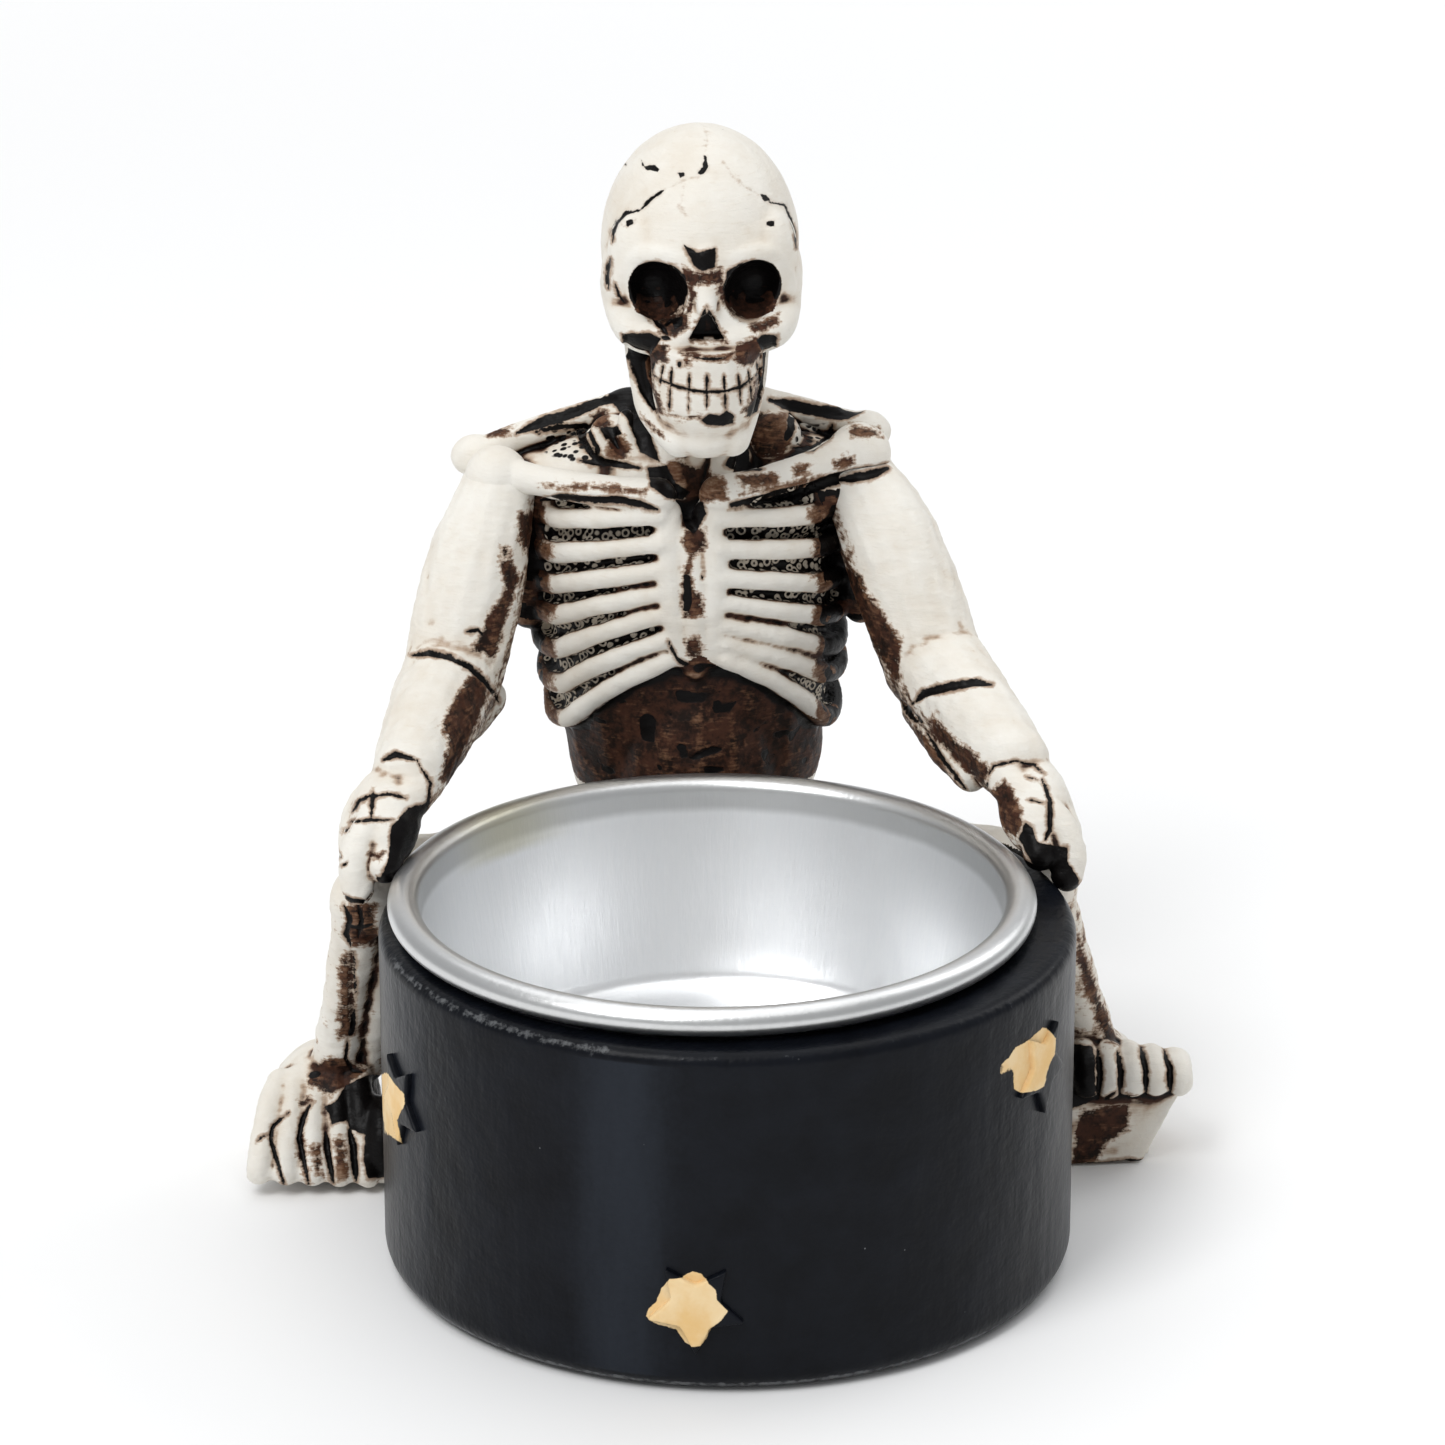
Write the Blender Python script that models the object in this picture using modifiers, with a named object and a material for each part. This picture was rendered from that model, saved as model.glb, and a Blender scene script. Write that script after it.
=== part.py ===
"""Seated skeleton candle holder: one resin casting, and a spun metal cup that drops into its pot.

The pot stands on the origin with its axis on Z, and the skeleton sits behind it, facing -Y.
Sizes are in millimetres, and MM turns them into metres when a mesh is made.
"""

import math

import bmesh
import bpy
from mathutils import Matrix, Vector

MM = 0.001

# Candle cup, spun from sheet to take a 38 mm tealight
TEALIGHT_RADIUS = 19.0
TEALIGHT_ROOM = 0.3
CUP_TAPER = 1.7
CUP_BEAD = 2.3
CUP_BEAD_HEIGHT = 2.0
CUP_DEPTH = 15.8
CUP_WALL = 0.5
CUP_FLOOR_ROUND = 1.2
CUP_RING_HEIGHT = 0.5
CUP_SHIFT = -0.4
CUP_STEPS = 64
CUP_FLOOR_RADIUS = TEALIGHT_RADIUS + TEALIGHT_ROOM
CUP_MOUTH_RADIUS = CUP_FLOOR_RADIUS + CUP_TAPER
CUP_RIM_RADIUS = CUP_MOUTH_RADIUS + CUP_BEAD
CUP_RING_RADIUS = CUP_FLOOR_RADIUS * 0.7

# Pot, sized round the cup
POT_LEDGE = 1.8
POT_FLOOR = 9.8
POT_TOP_ROUND = 1.0
POT_BASE_ROUND = 1.5
POT_STEPS = 72
POT_SHIFT = 0.7
CUP_CLEARANCE = 0.3
HAND_ROOM = 9.0
POT_RADIUS = CUP_RIM_RADIUS + POT_LEDGE
POT_HEIGHT = CUP_DEPTH + POT_FLOOR

# Stars: angle round the pot from the front towards +X, and height as a share of the pot's
STAR_REACH = 3.9
STAR_WAIST = 0.5
STAR_RELIEF = 0.45
STARS = ((-8.0, 0.26), (59.0, 0.74), (-70.5, 0.6))

# Torso
CHEST_DEPTH_RATIO = 0.7
CHEST_WIDTH = 23.2
CHEST_HEIGHT = 23.5
CHEST_Y = POT_RADIUS + 8.5
CHEST_BOTTOM = POT_HEIGHT + 0.9
CHEST_TOP = CHEST_BOTTOM + CHEST_HEIGHT
CHEST_WIDEST = CHEST_TOP - CHEST_HEIGHT * 0.47
RIB_PAIRS = 7
RIB_RADIUS = 0.78
RIB_PROUD = 0.95
CHEST_LEAN = -0.04
STERNUM_WIDTH = 5.4
STERNUM_TOP = CHEST_TOP - 1.4
STERNUM_TIP = CHEST_TOP - 15.4
BELLY_RADIUS = 7.4
PELVIS_WIDTH = 30.0
PELVIS_HEIGHT = 14.5
SPINE_RADIUS = 1.7

# Head
SKULL_WIDTH = 14.7
SKULL_LENGTH = 18.4
SKULL_HEIGHT = 23.0
SKULL_Y = CHEST_Y - 2.6
SKULL_TOP = CHEST_TOP + 25.7
SOCKET_RADIUS = 2.05
SOCKET_SPREAD = SKULL_WIDTH * 0.235
TEETH_RADIUS = 3.95
TEETH = 8
TOOTH_GAP = 0.35
JAW_SHIFT = -0.4
HEAD_SHIFT = 0.3

# Limbs, which reach round the pot
SHOULDER_SPREAD = 15.0
SHOULDER_Z = STERNUM_TOP
SHOULDER_RISE = 0.9
SHOULDER_TUCK = 2.6
UPPER_ARM_RADIUS = 3.8
FOREARM_RADIUS = 3.5
ELBOW_SPREAD = SHOULDER_SPREAD + 3.5
ELBOW_Y = CHEST_Y - 8.0
ELBOW_Z = POT_HEIGHT + 9.6
WRIST_Y = POT_RADIUS * 0.526
FINGER_RADIUS = 1.25
FINGERS = 4
FINGER_PITCH = 2.2
THIGH_RADIUS = 3.4
SHIN_RADIUS = 1.6
KNEE_Y = POT_RADIUS * 0.458
ANKLE_Y = KNEE_Y + 4.5
FOOT_WIDTH = 11.0
FOOT_HEIGHT = 8.6
TOES = 5
TOE_RADIUS = 1.15

# Casting
DETAIL = 0.42
FIGURE_TRIANGLES = 7600

RESIN = ("resin", (0.80, 0.75, 0.66), 0.5, 0.0)
ALUMINIUM = ("aluminium", (0.80, 0.81, 0.83), 0.3, 1.0)


def clear_scene():
    """Start from an empty scene with one collection for the object and one for its cutters."""
    for obj in list(bpy.data.objects):
        bpy.data.objects.remove(obj)
    made = []
    for name in ("skeleton_candle_holder", "cutters"):
        collection = bpy.data.collections.new(name)
        bpy.context.scene.collection.children.link(collection)
        made.append(collection)
    return made


def material(finish):
    name, colour, roughness, metallic = finish
    made = bpy.data.materials.new(name)
    made.use_nodes = True
    shader = made.node_tree.nodes["Principled BSDF"]
    shader.inputs["Base Color"].default_value = (*colour, 1.0)
    shader.inputs["Roughness"].default_value = roughness
    shader.inputs["Metallic"].default_value = metallic
    return made


def object_of(name, mesh, collection, finish=None):
    obj = bpy.data.objects.new(name, mesh)
    collection.objects.link(obj)
    if finish:
        mesh.materials.clear()
        mesh.materials.append(material(finish))
    return obj


def helper(obj):
    """Keep a cutter or a joined shape out of the render."""
    obj.hide_render = True
    obj.display_type = "WIRE"
    return obj


def mixed(start, end, share):
    return start + (end - start) * share


def placed(centre, turn):
    """A matrix that turns by degrees about X, Y and Z, then moves to a centre in millimetres."""
    place = Matrix.Translation(Vector(centre) * MM)
    for angle, axis in zip(turn, "XYZ"):
        place = place @ Matrix.Rotation(math.radians(angle), 4, axis)
    return place


class Clay:
    """Closed shapes that overlap, gathered in one mesh, as a sculptor builds up a figure."""

    def __init__(self):
        self.bm = bmesh.new()

    def add(self, made, place):
        """Take in another bmesh, placed by a matrix."""
        bmesh.ops.transform(made, matrix=place, verts=made.verts)
        shape = bpy.data.meshes.new("shape")
        made.to_mesh(shape)
        made.free()
        self.bm.from_mesh(shape)
        bpy.data.meshes.remove(shape)

    def ball(self, centre, radii, turn=(0, 0, 0)):
        """An ellipsoid, turned by degrees about X, Y and Z."""
        made = bmesh.new()
        bmesh.ops.create_uvsphere(made, u_segments=24, v_segments=16, radius=MM)
        self.add(made, placed(centre, turn) @ Matrix.Diagonal((*radii, 1.0)))

    def slab(self, centre, sizes, turn=(0, 0, 0), tuck=0.0):
        """A box, turned by degrees about X, Y and Z. Its foot on +X can be tucked in."""
        made = bmesh.new()
        bmesh.ops.create_cube(made, size=MM)
        for vert in made.verts:
            if vert.co.x > 0 and vert.co.z < 0:
                vert.co.x -= tuck / sizes[0] * MM
        self.add(made, placed(centre, turn) @ Matrix.Diagonal((*sizes, 1.0)))

    def disc(self, centre, radius, height, sides, turn=(0, 0, 0)):
        """An upright cylinder or prism, turned by degrees about X, Y and Z."""
        made = bmesh.new()
        bmesh.ops.create_cone(
            made, cap_ends=True, segments=sides, radius1=radius * MM, radius2=radius * MM, depth=height * MM
        )
        self.add(made, placed(centre, turn))

    def bone(self, stations, depth_ratio=1.0, round_ends=True):
        """A round-ended tube through (x, y, z, radius) stations, flattened in Y by depth_ratio."""
        curve = bpy.data.curves.new("bone", "CURVE")
        curve.dimensions = "3D"
        curve.bevel_depth = MM
        curve.bevel_resolution = 3
        curve.resolution_u = 5
        curve.use_fill_caps = True
        spline = curve.splines.new("NURBS")
        spline.points.add(len(stations) - 1)
        for point, (x, y, z, radius) in zip(spline.points, stations):
            point.co = (x * MM, y * MM, z * MM, 1.0)
            point.radius = radius
        spline.order_u = min(3, len(stations))
        spline.use_endpoint_u = True
        guide = bpy.data.objects.new("bone", curve)
        bpy.context.scene.collection.objects.link(guide)
        tube = bpy.data.meshes.new_from_object(guide.evaluated_get(bpy.context.evaluated_depsgraph_get()))
        bpy.data.objects.remove(guide)
        if depth_ratio != 1.0:
            middle = sum(station[1] for station in stations) / len(stations) * MM
            tube.transform(
                Matrix.Translation((0, middle, 0))
                @ Matrix.Diagonal((1, depth_ratio, 1, 1))
                @ Matrix.Translation((0, -middle, 0))
            )
        made = bmesh.new()
        made.from_mesh(tube)
        bmesh.ops.remove_doubles(made, verts=made.verts, dist=0.001 * MM)
        self.add(made, Matrix.Identity(4))
        bpy.data.meshes.remove(tube)
        if round_ends:
            for x, y, z, radius in (stations[0], stations[-1]):
                self.ball((x, y, z), (radius, radius * depth_ratio, radius))

    def mesh(self, name):
        made = bpy.data.meshes.new(name)
        bmesh.ops.recalc_face_normals(self.bm, faces=self.bm.faces)
        self.bm.to_mesh(made)
        self.bm.free()
        return made


def chest_half_width(z):
    """The ribs' half width at a height: widest a little above the middle."""
    return CHEST_WIDTH / 2 - 0.0085 * (z - CHEST_WIDEST) ** 2


def chest_point(z, angle, proud=0.0):
    """A point on the chest, angle degrees round from the breastbone to the spine, on +X."""
    across = chest_half_width(z) + proud
    turn = math.radians(angle)
    return Vector((across * math.sin(turn), CHEST_Y - across * CHEST_DEPTH_RATIO * math.cos(turn), z))


def chest_lean(z):
    """How far the chest's middle has moved over at height z: it leans a little towards -X."""
    return CHEST_LEAN * max(0.0, z - CHEST_BOTTOM)


def add_ribs(clay):
    """Seven pairs, level at the top and falling outwards more and more lower down."""
    top = STERNUM_TOP - 1.4
    pitch = (top - STERNUM_TIP - 1.1) / (RIB_PAIRS - 1)
    for pair in range(RIB_PAIRS):
        share = pair / (RIB_PAIRS - 1)
        breast_z = top - pitch * pair
        fall = mixed(1.6, 7.4, share**1.2)
        reach = STERNUM_WIDTH * mixed(0.42, 0.18, share**2)
        start = math.degrees(math.asin(reach / chest_half_width(breast_z)))
        for side in (-1, 1):
            stations = []
            for angle in (start, 30, 55, 85, 115, 145, 172):
                out = min(1.0, math.radians(angle - start) / 1.2)
                back = max(0.0, (angle - 85) / 87)
                z = breast_z - fall * out + back * (fall + 2.5)
                point = chest_point(z, angle, RIB_PROUD - RIB_RADIUS)
                stations.append((side * point.x + chest_lean(z), point.y, point.z, RIB_RADIUS))
            clay.bone(stations)


def add_torso(clay):
    """Chest core, ribs, breastbone, collar bones, shoulder blades, belly, spine and pelvis."""
    low = mixed(CHEST_BOTTOM, CHEST_TOP, 0.3)
    heights = (CHEST_BOTTOM, low, CHEST_WIDEST, mixed(CHEST_WIDEST, CHEST_TOP, 0.6))
    core = [(chest_lean(z), CHEST_Y, z, chest_half_width(z) - RIB_RADIUS * 0.6) for z in heights]
    clay.bone([*core, (0, CHEST_Y, CHEST_TOP - 5.5, 7.0)], CHEST_DEPTH_RATIO)
    clay.ball((0, CHEST_Y + 0.5, CHEST_TOP - 4.8), (CHEST_WIDTH * 0.46, 6.8, 4.1))
    add_ribs(clay)
    front = chest_point(STERNUM_TOP, 0).y
    middle = chest_point(mixed(STERNUM_TIP, STERNUM_TOP, 0.5), 0).y
    half = STERNUM_WIDTH / 4
    waist = mixed(STERNUM_TIP, STERNUM_TOP, 0.5)
    tip = chest_lean(STERNUM_TIP)
    for side in (-1, 1):
        clay.bone(
            [
                (side * half + chest_lean(STERNUM_TOP), front + 0.6, STERNUM_TOP - 1.2, half),
                (side * half + chest_lean(waist), middle + 0.5, waist, half),
                (side * half * 0.8 + tip, middle + 0.7, STERNUM_TIP + 2.2, half),
            ]
        )
        upper = (side * half + tip, middle + 0.8, STERNUM_TIP + 3, half)
        clay.bone([upper, (tip, middle + 1.2, STERNUM_TIP, half * 0.7)])
    clay.bone(
        [
            (0, CHEST_Y + 1, 5, BELLY_RADIUS + 1),
            (0, CHEST_Y - 1, CHEST_BOTTOM - 8.5, BELLY_RADIUS),
            (0, CHEST_Y - 2, CHEST_BOTTOM, BELLY_RADIUS),
            (0, CHEST_Y - 1.5, STERNUM_TIP + 1, BELLY_RADIUS * 0.6),
        ]
    )
    add_pelvis(clay)
    add_spine(clay)
    for side in (-1, 1):
        add_shoulder(clay, side)


def add_pelvis(clay):
    """The seat, with a flared wing and a rounded seat bone each side."""
    clay.ball((0, CHEST_Y + 1.5, 4), (PELVIS_WIDTH * 0.36, 8.6, PELVIS_HEIGHT * 0.6))
    for side in (-1, 1):
        wing = (side * PELVIS_WIDTH * 0.3, CHEST_Y + 1, PELVIS_HEIGHT * 0.62)
        clay.ball(wing, (6.4, 5.2, 6.0), (0, side * 28, 0))
        clay.ball((side * PELVIS_WIDTH * 0.24, CHEST_Y + 2.5, 2.4), (5.0, 6.6, 5.4))


def add_spine(clay):
    """A column up the back, with a knuckle for each vertebra."""
    back = CHEST_Y + chest_half_width(CHEST_WIDEST) * CHEST_DEPTH_RATIO
    path = [(0, CHEST_Y + 8.6, 4), (0, CHEST_Y + 6.6, CHEST_BOTTOM - 8.5)]
    path += [(0, back - 0.6, CHEST_BOTTOM + 7.5), (0, back - 1.4, CHEST_TOP - 4)]
    path += [(0, SKULL_Y + 3.4, CHEST_TOP + 6)]
    clay.bone([(*point, SPINE_RADIUS) for point in path])
    knuckles = 11
    for knuckle in range(knuckles):
        along = knuckle / (knuckles - 1) * (len(path) - 1) * 0.84
        low = int(along)
        point = mixed(Vector(path[low]), Vector(path[low + 1]), along - low)
        clay.ball(point + Vector((0, 0.7, 0)), (1.7, 1.7, 1.2))


def shoulder_point(side):
    """The shoulder on +X sits a little higher, further back and closer in."""
    if side < 0:
        return Vector((-SHOULDER_SPREAD, CHEST_Y - 1.8, SHOULDER_Z))
    return Vector((SHOULDER_SPREAD - SHOULDER_TUCK, CHEST_Y - 0.4, SHOULDER_Z + SHOULDER_RISE))


def add_shoulder(clay, side):
    """Collar bone, shoulder ball, the blade behind with its ridge, and the lumps beside the neck."""
    ball = shoulder_point(side)
    front = chest_point(STERNUM_TOP, 0).y
    inner = Vector((side * 2.2 + chest_lean(STERNUM_TOP), front + 0.2, STERNUM_TOP + 0.1))
    bend = mixed(inner, ball, 0.5) + Vector((0, -1.4, -0.1))
    clay.bone([(*inner, 1.45), (*bend, 1.15), (*(ball + Vector((0, -0.4, 0.5))), 1.6)])
    clay.ball(ball + Vector((0, -0.3, -0.2)), (2.5, 2.5, 2.5))
    tip = ball + Vector((side * (1.5 if side < 0 else 0.8), 3.4, 0.5))
    neck = Vector((side * 4.8, CHEST_Y + 2.8, CHEST_TOP + 2.8))
    clay.ball(tip, (2.0, 2.0, 1.7))
    clay.bone([(*tip, 1.4), (*(mixed(tip, neck, 0.5) + Vector((0, 0, 0.5))), 1.0), (*neck, 1.1)])
    low = mixed(tip, neck, 0.15)
    edge = [(*low, 1.2), (side * 9.4, CHEST_Y + 6.8, CHEST_TOP - 7, 1.5)]
    clay.bone([*edge, (side * 7.4, CHEST_Y + 7.4, CHEST_TOP - 11.5, 0.9)])
    clay.ball((side * 8.2, CHEST_Y + 5.6, CHEST_TOP - 4.6), (4.6, 2.4, 6.0), (0, -side * 22, 0))
    clay.ball((side * 8.6, CHEST_Y + 0.6, CHEST_TOP - 2.6), (5.8, 4.4, 3.4), (0, side * 14, 0))
    clay.ball((side * 11.0, CHEST_Y + 1.0, CHEST_TOP - 2.6), (3.6, 3.6, 2.4))
    clay.ball((side * 4.6, CHEST_Y + 2.6, CHEST_TOP), (3.6, 2.6, 4.0))
    clay.ball((side * 5.7, CHEST_Y - 0.2, CHEST_TOP + 0.2), (2.2, 2.1, 2.7), (0, side * 24, 0))
    cord = [(side * 1.6, CHEST_Y - 4.8, STERNUM_TOP, 1.0), (side * 3.4, CHEST_Y - 1, CHEST_TOP + 3.5, 1.3)]
    clay.bone([*cord, (side * 3.0, SKULL_Y + 1, CHEST_TOP + 8, 1.2)])


def add_skull(clay):
    """Cranium, brows, cheek bones, both jaws and the chin, before the sockets are cut."""
    half = SKULL_WIDTH / 2
    long = SKULL_LENGTH / 2
    crown = SKULL_TOP - 8.7
    chin = SKULL_TOP - SKULL_HEIGHT
    eye = SKULL_TOP - 10.1
    face = SKULL_Y - long
    clay.ball((0, SKULL_Y, crown), (half, long, 8.7))
    clay.ball((0, SKULL_Y - 3.0, crown - 0.6), (half - 0.35, long - 2.8, 7.2))
    clay.ball((0, face + 3.2, eye - 3.4), (4.7, 3.8, 4.6))
    clay.bone([(0, SKULL_Y + 1.5, chin + 3.8, 2.6), (0, SKULL_Y + 3.4, CHEST_TOP + 1.5, 2.7)])
    clay.bone([(0, face + 1.0, eye + 2.4, 1.3), (0, face - 0.7, eye - 0.7, 0.85)])
    upper = (0, face + 1.8, eye - 4.4, TEETH_RADIUS + 0.1)
    clay.bone([upper, (0, face + 1.9, chin + 2.8, TEETH_RADIUS - 0.35)], round_ends=False)
    clay.ball((0, face + 1.2, chin + 1.75), (2.7, 2.3, 1.75))
    clay.ball((JAW_SHIFT, face + 4.4, chin + 3.8), (3.6, 4.2, 2.8))
    for side in (-1, 1):
        clay.ball((side * 2.3, SKULL_Y + 0.5, crown + 0.9), (4.4, 6.6, 6.9))
        clay.bone(
            [
                (side * 0.7, face + 0.75, eye + 2.1, 0.85),
                (side * SOCKET_SPREAD, face + 0.9, eye + 2.8, 0.95),
                (side * 5.7, face + 2.6, eye + 1.9, 1.0),
                (side * 6.1, face + 3.4, eye - 0.8, 1.0),
            ]
        )
        clay.bone(
            [
                (side * 1.9, face + 0.5, eye - 3.7, 1.2),
                (side * 4.3, face + 1.1, eye - 3.8, 1.45),
                (side * 5.75, face + 3.5, eye - 3.0, 1.6),
                (side * 6.4, face + 8.4, eye - 1.6, 1.1),
            ]
        )
        clay.ball((side * (half - 1.25), SKULL_Y - 2.6, eye - 0.8), (1.35, 3.4, 3.3))
        clay.bone(
            [
                (side * 4.75 + JAW_SHIFT, SKULL_Y - 3.2, eye - 2.6, 1.0),
                (side * 4.1 + JAW_SHIFT, SKULL_Y - 4.4, chin + 4.6, 1.05),
                (side * 3.2 + JAW_SHIFT, face + 3.4, chin + 2.2, 1.2),
                (side * 1.9, face + 0.9, chin + 1.5, 1.4),
            ]
        )


def elbow_point(side):
    return Vector((side * (ELBOW_SPREAD + (0.0 if side < 0 else -0.9)), ELBOW_Y, ELBOW_Z))


def add_arm(clay, side):
    """Upper arm, held close to the ribs, elbow and forearm down to the wrist on the pot's rim."""
    shoulder = shoulder_point(side)
    elbow = elbow_point(side)
    wrist = wrist_point(side)
    clay.bone(
        [
            (shoulder.x, shoulder.y - 0.2, SHOULDER_Z - 1.4, UPPER_ARM_RADIUS * 0.78),
            (*mixed(shoulder, elbow, 0.32), UPPER_ARM_RADIUS),
            (*mixed(shoulder, elbow, 0.72), UPPER_ARM_RADIUS + 0.3),
            (*elbow, UPPER_ARM_RADIUS + 0.1),
        ]
    )
    web = Vector((side * CHEST_WIDTH * 0.5, CHEST_Y - 0.5, CHEST_TOP - 7))
    clay.bone([(*web, 2.4), (*(web + Vector((side, -0.3, -5.5))), 1.6)])
    middle = mixed(elbow, wrist, 0.5)
    stations = [(*elbow, FOREARM_RADIUS + 0.3), (*middle, FOREARM_RADIUS + 0.2)]
    clay.bone([*stations, (*wrist, FOREARM_RADIUS * 0.8)])
    start, bend, end = (2.4, 1.0, 0.8) if side < 0 else (1.7, 2.9, 2.8)
    top = mixed(elbow, wrist, 0.05 if side < 0 else 0.2) + Vector((-side * start, 1.6, -2.4))
    middle = mixed(elbow, wrist, 0.6) + Vector((-side * bend, 1.6, -2.0))
    clay.bone([(*top, 1.7), (*middle, 1.6), (*(wrist + Vector((-side * end, 1.3, -1.6))), 1.3)])


def wrist_point(side):
    return Vector((side * (POT_RADIUS - 3.0) + 0.2, WRIST_Y, POT_HEIGHT + 6.4))


def add_hand(clay, side):
    """A palm on the rim, a thumb along its inner side and four fingers that drop down the wall."""
    wrist = wrist_point(side)
    rim = POT_HEIGHT
    edge = POT_RADIUS
    clay.ball((side * (edge - 1.4), WRIST_Y - 3.4, rim + 4.2), (2.6, 4.6, 2.5), (24, 0, 0))
    clay.bone(
        [
            (*(wrist + Vector((-side * 0.4, -1.6, -0.6))), 1.7),
            (side * (edge - 1.6), WRIST_Y - 5.0, rim + 4.4, FINGER_RADIUS + 0.25),
            (side * (edge - 1.3), WRIST_Y - 7.4, rim + 1.9, FINGER_RADIUS),
        ]
    )
    for finger in range(FINGERS):
        y = WRIST_Y - 7.4 + FINGER_PITCH * finger
        clay.bone(
            [
                (side * (edge - 0.4), y + 1.8, rim + 4.4, FINGER_RADIUS),
                (side * (edge + 1.4), y + 0.4, rim + 2.8, FINGER_RADIUS + 0.1),
                (side * (edge + 0.7), y - 0.2, rim + 0.3, FINGER_RADIUS),
            ]
        )


def knee_point(side):
    return Vector((side * (POT_RADIUS + (0.2 if side < 0 else -0.5)), KNEE_Y, POT_HEIGHT - 3.0))


def add_leg(clay, side):
    """Thigh up to the knee under the hand, then two shin bones down to the ankle."""
    hip = Vector((side * PELVIS_WIDTH * 0.28, CHEST_Y + 0.5, PELVIS_HEIGHT * 0.8))
    knee = knee_point(side)
    ankle = Vector((side * (POT_RADIUS + 2.8), ANKLE_Y, FOOT_HEIGHT - 1.2))
    clay.ball(hip, (4.4, 4.4, 4.4))
    arch = mixed(hip, knee, 0.55) + Vector((side * 2.4, 0.6, 4.6))
    clay.bone([(*hip, THIGH_RADIUS + 0.8), (*arch, THIGH_RADIUS + 0.4), (*knee, THIGH_RADIUS - 0.7)])
    clay.bone(
        [
            (*(knee + Vector((side * 0.5, -0.3, -0.6))), SHIN_RADIUS + 0.5),
            (*(mixed(knee, ankle, 0.5) + Vector((side * 0.2, 0, 0))), SHIN_RADIUS),
            (*ankle, SHIN_RADIUS + 0.4),
        ]
    )
    inner = Vector((-side * 2.0, 0.3, 0))
    middle = mixed(knee, ankle, 0.5) + inner
    clay.bone([(*(knee + inner * 0.6), 1.1), (*middle, 0.9), (*(ankle + inner), 1.2)])


def add_foot(clay, side):
    """A wedge of a foot with five toes. The one on -X curls to the ground, the other stands on a step."""
    inner = POT_RADIUS - 0.2
    curl = side < 0
    width = FOOT_WIDTH - (1.1 if curl else -0.5)
    tip_z = 1.3 if curl else 6.3
    tip_y = ANKLE_Y - 6.2 if curl else ANKLE_Y - 4.4
    heel = (side * (inner + width * 0.38), ANKLE_Y + 1.2, FOOT_HEIGHT * 0.46)
    clay.ball(heel, (4.2, 5.6, FOOT_HEIGHT * 0.52))
    clay.slab((side * (inner + width * 0.36), ANKLE_Y + 0.8, 1.4), (width * 0.74, 7.6, 5.2))
    if not curl:
        clay.slab((inner + width * 0.4, ANKLE_Y - 0.6, 2.4), (width * 1.05, 7.5, 7.2), (0, 0, 3), 3.6)
    for toe in range(TOES):
        share = toe / (TOES - 1)
        x = side * (inner + mixed(0.8 if curl else 3.4, width - TOE_RADIUS, share))
        back_x = side * (inner + mixed(1.6 if curl else 3.2, width * (0.72 if curl else 0.9), share))
        shrink = 1.0 - 0.12 * abs(share - 0.4)
        bend_z = mixed(tip_z, FOOT_HEIGHT - 1.2, 0.68) - share * 0.6
        if not curl:
            top_z = FOOT_HEIGHT + 0.5 - share * 0.7
            knuckle = (mixed(back_x, x, 0.8), tip_y - 0.6, top_z, TOE_RADIUS * 0.9)
            start = (back_x, ANKLE_Y - 0.6, FOOT_HEIGHT - 0.6 - share * 1.4, TOE_RADIUS)
            clay.bone([start, knuckle, (x, tip_y, tip_z + 0.2, TOE_RADIUS * 0.88)])
            continue
        clay.bone(
            [
                (back_x, ANKLE_Y - 0.6, FOOT_HEIGHT - 1.2 - share, TOE_RADIUS),
                (mixed(back_x, x, 0.7), tip_y + 1.8, bend_z, TOE_RADIUS * 1.05),
                (x, tip_y, tip_z + 0.4 * share, TOE_RADIUS * shrink),
            ]
        )


def fused(clay, name):
    """One skin over all the clay, eased where shapes meet, with faces spent where the form turns."""
    rough = bpy.data.objects.new(name, clay.mesh(name))
    bpy.context.scene.collection.objects.link(rough)
    skin = rough.modifiers.new("skin", "REMESH")
    skin.mode = "VOXEL"
    skin.voxel_size = DETAIL * MM
    ease = rough.modifiers.new("ease", "SMOOTH")
    ease.factor = 0.5
    ease.iterations = 2
    graph = bpy.context.evaluated_depsgraph_get()
    count = len(rough.evaluated_get(graph).data.loop_triangles)
    thin = rough.modifiers.new("thin", "DECIMATE")
    thin.ratio = FIGURE_TRIANGLES / count
    made = bpy.data.meshes.new_from_object(rough.evaluated_get(bpy.context.evaluated_depsgraph_get()))
    bpy.data.objects.remove(rough)
    return outer_skin(made)


def outer_skin(mesh):
    """The largest connected shell of the mesh, without the small ones that the fusing leaves inside."""
    bm = bmesh.new()
    bm.from_mesh(mesh)
    left = set(bm.verts)
    shells = []
    while left:
        seen = {left.pop()}
        edge = list(seen)
        while edge:
            near = {e.other_vert(v) for v in edge for e in v.link_edges} - seen
            seen |= near
            edge = list(near)
        left -= seen
        shells.append(seen)
    shells.sort(key=len)
    for shell in shells[:-1]:
        bmesh.ops.delete(bm, geom=list(shell), context="VERTS")
    bm.to_mesh(mesh)
    bm.free()
    return mesh


def carving():
    """The eye sockets and the nose."""
    cut = Clay()
    eye = SKULL_TOP - 10.1
    face = SKULL_Y - SKULL_LENGTH / 2
    for side in (-1, 1):
        across = side * SOCKET_SPREAD + HEAD_SHIFT
        size = (SOCKET_RADIUS, 3.5, SOCKET_RADIUS * 1.15)
        cut.ball((across, face + 0.4, eye - 0.25), size, (0, side * 12, -side * 10))
    cut.disc((HEAD_SHIFT, face - 0.4, eye - 2.8), 1.6, 2.8, 3, (90, 0, 0))
    return cut


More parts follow.
